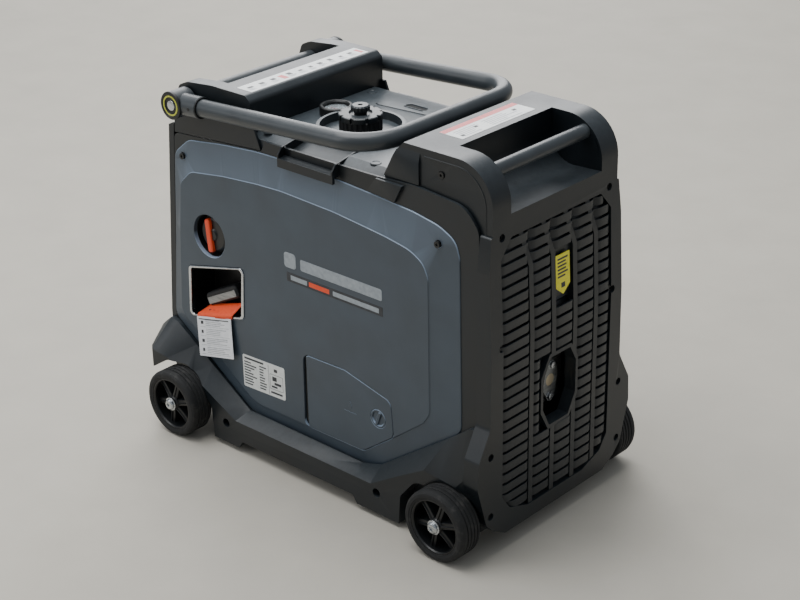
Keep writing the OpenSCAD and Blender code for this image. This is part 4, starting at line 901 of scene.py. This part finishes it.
class GENERATOR_OT_starter(PieceOperator, bpy.types.Operator):
    """Recoil window: plated bezel, grip on its cord, orange tag and white card, and the engine dial above"""
    bl_idname = "generator.starter"
    bl_label = "Starter side"

    def build(self, settings):
        bezel = Shell().slab(PANEL_SIDE, rounded(grown(WINDOW, WINDOW_MID, 2.7), 8, 8), 2.0, -5.8,
                             edge=1.2, holes=[rounded(grown(WINDOW, WINDOW_MID, -3.2), 6, 8)], hole_edge=1.2)
        bezel.skin("recoil_bezel", "chrome")
        eased("starter_pocket", 1.0, "trim", small=0.4)
        tilt = math.radians(27)
        hold = Place((-198, -132.5, 232), (math.cos(tilt), 0, math.sin(tilt)),
                     (-math.sin(tilt), 0, math.cos(tilt)))
        grip = Shell().slab(hold, rounded(oblong(-39, -12, 37, 9), 7, 8), 0, -22, edge=4.5, steps=5)
        grip.lathe(softened([(0, 0), (7, 0), (4.5, 12), (2.6, 16), (0, 16)], [0, 2, 3, 1, 0]),
                   (CORD[0], -112, CORD[1]), (0, 1, 0), 32)
        grip.lathe(softened([(0, 0), (2.4, 0), (2.4, 164), (0, 164)], [0, 0.4, 0.4, 0]),
                   (CORD[0], -110, CORD[1]), (0, 1, 0), 24)
        grip.skin("recoil_grip", "grip")
        insert = Shell().slab(hold, rounded(oblong(-34, -8.5, 34, 2), 1.2), 1.2, -1, edge=0.5)
        insert.piece("recoil_grip_insert", "sheet", SLOT["recoil_grip"], "recoil_grip")
        self.tags()
        disc = Shell().lathe(softened([(0, -9), (26, -9), (26, -1.5), (23, 0.6), (10, 0.6), (8, 3), (0, 3)],
                                      [0, 0.5, 1, 1.2, 1, 1, 0]), (DIAL[0], -133.5, DIAL[1]), (0, -1, 0), 72)
        disc.piece("engine_dial_disc", "trim", SLOT["engine_dial"], "engine_dial", ("engine_dial",))
        blade = rounded([(-218.5, 350), (-208.5, 352), (-203.5, 301), (-213.5, 298)], 4, 8)
        lever = Shell().slab(on_side(139.5, -1), blade, 0, -9, edge=2.2)
        lever.piece("engine_dial_lever", "orange", SLOT["engine_dial"], "engine_dial")

    @staticmethod
    def tags():
        """Orange tag, a ruled sheet between two bent edges, and the white card that hangs below it."""
        slot = SLOT["recoil_tags"]
        left = np.array([(-225, -129, 208), (-231, -134, 202.5), (-237, -141, 196.2), (-238.6, -144.2, 194.9),
                         (-239.6, -145.3, 193), (-240.5, -145.5, 188)])
        right = left + np.array([(72, 0, 23), (74, 0, 22), (76, 0, 20.5), (76.5, 0, 19.7), (77, 0, 19.4),
                                 (76.5, 0, 19)])
        across = np.linspace(0, 1, 12)[None, :, None]
        sheet = left[:, None] * (1 - across) + right[:, None] * across
        sheet[..., 1] += 0.5 * np.sin(across[..., 0] * 7)
        tag = Shell().grid(sheet, flip=True).piece("caution_tag", "tag", slot, replaces=("recoil_tags",))
        thick = tag.modifiers.new("card_thickness", "SOLIDIFY")
        thick.thickness, thick.offset = 0.5 * MM, -1
        tag_plane = Place(left[2] + (0, -0.3, 0), right[2] - left[2], left[1] - left[3])
        print_on(tag_plane, "caution_tag_print", "ink", slot,
                 ([(14, 3.5, 18, 6.5), (24, 4, 52, 6), (58, 3.5, 62, 6.5)], 0.4, 0.7))
        low_left, top_left, top_right = (np.array(q, float) for q in (
            (-236, -149.6, 126), (-241.5, -145.9, 189), (-166, -145.9, 207)))
        card = Place(low_left, top_right - top_left, top_left - low_left)
        wide, tall = np.linalg.norm(top_right - top_left), np.linalg.norm(top_left - low_left)
        outline = rounded(oblong(0, 0, wide, tall), 0.8, 2)
        film(card, "instruction_card", "card", slot, outline, 0.3, -0.3, edge=0.1)
        rows = 14.5 * np.arange(4)
        cells = np.concatenate([marks(11 + i, 19, 5 + v, 71, 16 + v, 4, 0.4, 0.45)
                                for i, v in enumerate(rows)])
        rules = [(6, 3.5 + v, 72, 4.0 + v) for v in rows]
        icons = [(8.5, 8 + v, 13 + (i % 2), 13 + v) for i, v in enumerate(rows)]
        print_on(card, "instruction_card_lines", "faint", slot, (cells, 0.3, 0.42), (rules, 0.3, 0.42))
        print_on(card, "instruction_card_icons", "ink", slot, (icons, 0.3, 0.45),
                 ([(4, 58.5, 72, 60)], 0.3, 0.45))


class GENERATOR_OT_labels(PieceOperator, bpy.types.Operator):
    """Labels and plates with generic marks in place of any print"""
    bl_idname = "generator.labels"
    bl_label = "Labels"

    def build(self, settings):
        self.deck_labels()
        self.panel_labels()
        self.outlet_arrow()

    @staticmethod
    def deck_labels():
        """White strips across the front housing and the tower, with rows of marks, icons and red areas."""
        slot = "black_plastic"
        strip = Place((-124, -118, TOWER_TOP), (0, 1, 0), (-1, 0, 0))
        film(strip, "front_label", "film", slot, rounded(oblong(0, 0, 236, 30), 1.2))
        cells = [(4 + 22 * i, 4, 22 + 22 * i, 26) for i in range(3)]
        cells += [(82 + 20.5 * i, 4, 98 + 20.5 * i, 26) for i in range(7)]
        faint = np.concatenate([marks(40 + i, c[0] + 1, c[1] + 1, c[2] - 1, c[1] + 9, 3, 0.5)
                                for i, c in enumerate(cells)])
        dark = [(c[0] + 4 + (i % 3), 14, c[2] - 4, 19 + (i % 4)) for i, c in enumerate(cells)]
        print_on(strip, "front_label_lines", "faint", slot, (faint, 0.3, 0.4))
        print_on(strip, "front_label_icons", "ink", slot, (dark, 0.3, 0.4))
        print_on(strip, "front_label_red", "red", slot, ([(70, 6, 79, 22), (226, 6, 232, 22)], 0.3, 0.42))
        rear = Place((221, -75, TOWER_TOP), (0, 1, 0), (-1, 0, 0))
        film(rear, "rear_label", "film", slot, rounded(oblong(0, 0, 150, 40), 1.2))
        print_on(rear, "rear_label_stripe", "red", slot, ([(0.4, 30, 149.6, 39.6)], 0.3, 0.42))
        lines = np.concatenate([marks(7, 10, 3, 60, 26, 5, 0.35), marks(8, 66, 3, 140, 26, 5, 0.35)])
        print_on(rear, "rear_label_lines", "faint", slot, (lines, 0.3, 0.4))
        print_on(rear, "rear_label_icons", "ink", slot,
                 ([(8, 6, 14, 11), (44, 15, 50, 20), (126, 18, 133, 23)], 0.3, 0.42))

    @staticmethod
    def panel_labels():
        """Blank name bar, the strip below it and the data sticker on the near side cover."""
        side, slot = PANEL_SIDE, "panel_paint"
        bar = Shell().slab(side, rounded(oblong(-18, 327, 136, 344), 3), 0.35, -0.2, edge=0.3)
        bar.slab(side, rounded(oblong(-50, 325, -27, 348), 5), 0.35, -0.2, edge=0.3)
        bar.piece("name_bar_blank", "silver", slot)
        film(side, "name_strip", "ink", slot, rounded(oblong(-46, 304, 137, 318), 1))
        print_on(side, "name_strip_orange", "orange", slot, ([(-2, 307.5, 37, 314.5)], 0.25, 0.42))
        print_on(side, "name_strip_pale", "silver", slot,
                 ([(-38, 307.5, -6, 314.5), (44, 307.5, 130, 314.5)], 0.25, 0.4))
        spec = Place((-149, -PANEL_Y, 102), (88, 0, 4), (0, 0, 1))
        film(spec, "spec_sticker", "film", "black_plastic", rounded(oblong(0, 0, 88, 53), 3.0))
        lines = np.concatenate([marks(21, 3, 4, 30, 44, 9, 0.45), marks(22, 35, 4, 50, 44, 9, 0.45),
                                [(4, 46.5, 44, 49.5)]])
        boxes = [(54, 2, 54.5, 50), (57, 12, 84, 12.5), (57, 36, 84, 36.5), (57, 12, 57.5, 36.5),
                 (83.5, 12, 84, 36.5), (60, 15, 72, 18), (66, 20, 80, 24), (62, 26, 71, 33),
                 (66, 41, 73, 46), (58, 5, 82, 8)]
        print_on(spec, "spec_sticker_print", "ink", slot, (lines, 0.3, 0.4), (boxes, 0.3, 0.4))

    @staticmethod
    def outlet_arrow():
        """Yellow arrow label on the leaning upper half of the grille."""
        lean = math.atan(9 / 165)
        arrow_base = Place((325 - 0.6 - (340 - 305) * math.tan(lean), -4, 340), (0, 1, 0),
                           (-math.sin(lean), 0, math.cos(lean)))
        pentagon = rounded([(0, 12), (15, 0), (30, 12), (30, 58), (0, 58)], 1.5)
        film(arrow_base, "outlet_arrow_label", "yellow", "black_plastic", pentagon, 0.3, -0.8)
        lines = np.concatenate([marks(31, 4, 24, 26, 54, 6, 0.5, 0.3), [(11, 10, 19, 17)]])
        print_on(arrow_base, "outlet_arrow_print", "ink", "black_plastic", (lines, 0.28, 0.42))


class GENERATOR_OT_control_end(PieceOperator, bpy.types.Operator):
    """Control panel end: display, sockets, flaps, buttons and their generic marks"""
    bl_idname = "generator.control_end"
    bl_label = "Control end"

    def build(self, settings):
        for node, radius, material in (
                ("control_panel", 1.0, "trim"), ("outlets", 0.5, "trim"), ("outlet_flap_left", 0.7, "casing"),
                ("outlet_flap_right", 0.7, "casing"), ("eco_rocker", 0.6, "trim"),
                ("start_button", 0.6, "orange"), ("breaker_button", 0.6, "pale"), ("display", 0.3, "screen")):
            eased(node, radius, material, small=0.2)
        glass = [(u, 240, u + w, 241.5) for u in (-80, -40, 0, 40) for w in (12, 26)]
        digits = [(u + k, 247, u + k + 6, 258) for u in (-76, -36, 4, 44) for k in (0, 9, 18)]
        print_on(FRONT, "display_segments", "faint", SLOT["display"], (glass + digits, -2.6, -2.35))
        words = [(-79, 207, -65, 209.5), (-75, 152, -60, 154), (-75, 114, -62, 116), (-92, 62, -20, 65),
                 (36, 198, 48, 200), (2, 198, 20, 200), (33, 200, 49, 202), (60, 200, 76, 202),
                 (-34, 67, 80, 69), (-100, 222, 100, 222.8)]
        print_on(FRONT, "control_panel_marks", "faint", SLOT["control_panel"], (words, -3.1, -2.85))
        rings = Shell()
        for u in (70, 42, 14):
            centre = FRONT.at(np.array([u]), np.array([186.0]), np.array([-3.0]))[0]
            rings.lathe(softened([(9.1, -0.2), (11.5, -0.2), (11.5, 1.6), (10.2, 2.4), (9.1, 2.0)],
                                 [0, 0.2, 0.6, 0.5, 0]), centre, FRONT.up, 48)
        rings.piece("round_socket_rings", "zinc", SLOT["outlets"])


class GENERATOR_OT_internals(PieceOperator, bpy.types.Operator):
    """Finishes of the engine, generator and fuel parts inside, and the silencer outlet behind the grille"""
    bl_idname = "generator.internals"
    bl_label = "Internals"

    def build(self, settings):
        for node, material in (("engine_block", "cast"), ("cylinder_head", "cast"), ("spark_plug", "ceramic"),
                               ("muffler", "sheet"), ("air_cleaner", "trim"), ("recoil_starter", "orange"),
                               ("crank_rotor", "zinc"), ("stator", "coil"), ("fuel_tank", "tank"),
                               ("inverter_module", "cast"), ("battery", "trim"), ("sub_frame", "sheet"),
                               ("cover_screws", "trim")):
            paint(node, material)
        screws = Shell()
        for u, v in ((16, 176), (20, 223)):
            hexed = lambda t, r, h: r * np.where(h > 0.6, 1 + 0.07 * np.cos(6 * t), 1.0)
            screws.lathe(softened([(0, 0), (6.4, 0), (6.4, 1.0), (5.0, 1.2), (4.8, 4.6), (0, 5.0)],
                                  [0, 0.2, 0.2, 0.1, 0.6, 0]), (298, u, v), (1, 0, 0), 36, wave=hexed)
        screws.piece("silencer_bolts", "zinc", SLOT["muffler"])
        # The silencer screen's pale tone is partly its heat tint and partly painted light for the shaded
        # recess.
        Shell().lathe([(0, 0), (8.9, 0), (8.9, 1), (0, 1)], (296.5, 18, 200), (1, 0, 0), 40).piece(
            "silencer_screen", "hot", SLOT["muffler"])


class GENERATOR_OT_stage(PieceOperator, bpy.types.Operator):
    """Pale floor, soft studio lights and the camera"""
    bl_idname = "generator.stage"
    bl_label = "Stage"

    def build(self, settings):
        half = settings.floor_size / 2
        mesh = bpy.data.meshes.new("floor")
        corners = [(x, y, 0) for x, y in oblong(-half, -half, half, half)]
        mesh.from_pydata(corners, [], [(0, 1, 2, 3)])
        floor = bpy.data.objects.new("floor", mesh)
        bpy.context.scene.collection.objects.link(floor)
        material, tree, surface, coords = new_material("floor_matt_pale", Roughness=0.9)
        cloud = noise(tree, (coords, "Object"), 120, 8.0, Roughness=0.6)
        darker, paler = ((*[min(1, c * k) for c in settings.floor_colour], 1) for k in (0.9, 1.1))
        colour = blend(tree, (cloud, "Fac"), darker, paler)
        tree.links.new(colour.outputs[2], surface.inputs["Base Color"])
        mesh.materials.append(material)
        world = bpy.data.worlds.new("studio")
        bpy.context.scene.world = world
        world.use_nodes = True
        sky = world.node_tree.nodes["Background"].inputs
        sky["Color"].default_value, sky["Strength"].default_value = srgb("#dfe6ee"), 0.5
        target = Vector((0, 0, 0.3))
        for name, place, size, power in (("key_softbox", (-0.7, -0.2, 3.0), 2.6, settings.key_power),
                                         ("sky_bank", (-2.9, 3.1, 2.4), 3.2, 150.0),
                                         ("side_softbox", (-1.9, -2.8, 1.9), 1.6, 22.0)):
            light = bpy.data.lights.new(name, "AREA")
            light.shape, light.size, light.energy = "SQUARE", size, power
            lamp = bpy.data.objects.new(name, light)
            lamp.location = place
            lamp.rotation_euler = (target - Vector(place)).to_track_quat("-Z", "Y").to_euler()
            bpy.context.scene.collection.objects.link(lamp)
        self.camera()

    @staticmethod
    def camera():
        """Three-quarter view from the starter side and the exhaust end, looking down about 25 degrees."""
        yaw, pitch, roll = (math.radians(a) for a in (42.699, 25.361, -1.099))
        back = Vector((math.sin(yaw) * math.cos(pitch), -math.cos(yaw) * math.cos(pitch), math.sin(pitch)))
        right = Vector((math.cos(yaw), math.sin(yaw), 0))
        up = back.cross(right)
        c, s = math.cos(roll), math.sin(roll)
        right, up = right * c + up * s, up * c - right * s
        data = bpy.data.cameras.new("camera")
        data.lens, data.sensor_width = 80.93, 36.0
        camera = bpy.data.objects.new("camera", data)
        turn = Matrix((right, up, back)).transposed().to_4x4()
        camera.matrix_world = Matrix.Translation((1.6262, -1.7214, 1.3579)) @ turn
        bpy.context.scene.collection.objects.link(camera)
        bpy.context.scene.camera = camera


OPERATORS = (GENERATOR_OT_stage, GENERATOR_OT_casing, GENERATOR_OT_side_panels, GENERATOR_OT_handle,
             GENERATOR_OT_wheels, GENERATOR_OT_filler, GENERATOR_OT_starter, GENERATOR_OT_labels,
             GENERATOR_OT_control_end, GENERATOR_OT_internals)


class GENERATOR_PT_sidebar(bpy.types.Panel):
    """Lists the settings and one button per group of pieces"""
    bl_idname = "GENERATOR_PT_sidebar"
    bl_label = "Suitcase generator"
    bl_space_type = "VIEW_3D"
    bl_region_type = "UI"
    bl_category = "Generator"

    def draw(self, context):
        settings = context.scene.generator
        for name in ("edge_radius", "tube_facets", "floor_size", "floor_colour", "key_power"):
            self.layout.prop(settings, name)
        for operator in OPERATORS:
            self.layout.operator(operator.bl_idname)


CLASSES = (GeneratorSettings, *OPERATORS, GENERATOR_PT_sidebar)


def register():
    for cls in CLASSES:
        bpy.utils.register_class(cls)
    bpy.types.Scene.generator = PointerProperty(type=GeneratorSettings)


def unregister():
    del bpy.types.Scene.generator
    for cls in reversed(CLASSES):
        bpy.utils.unregister_class(cls)


def main():
    """Registers the add-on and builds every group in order."""
    register()
    make_materials()
    for operator in OPERATORS:
        group, name = operator.bl_idname.split(".")
        getattr(getattr(bpy.ops, group), name)()


if __name__ == "__main__":
    main()
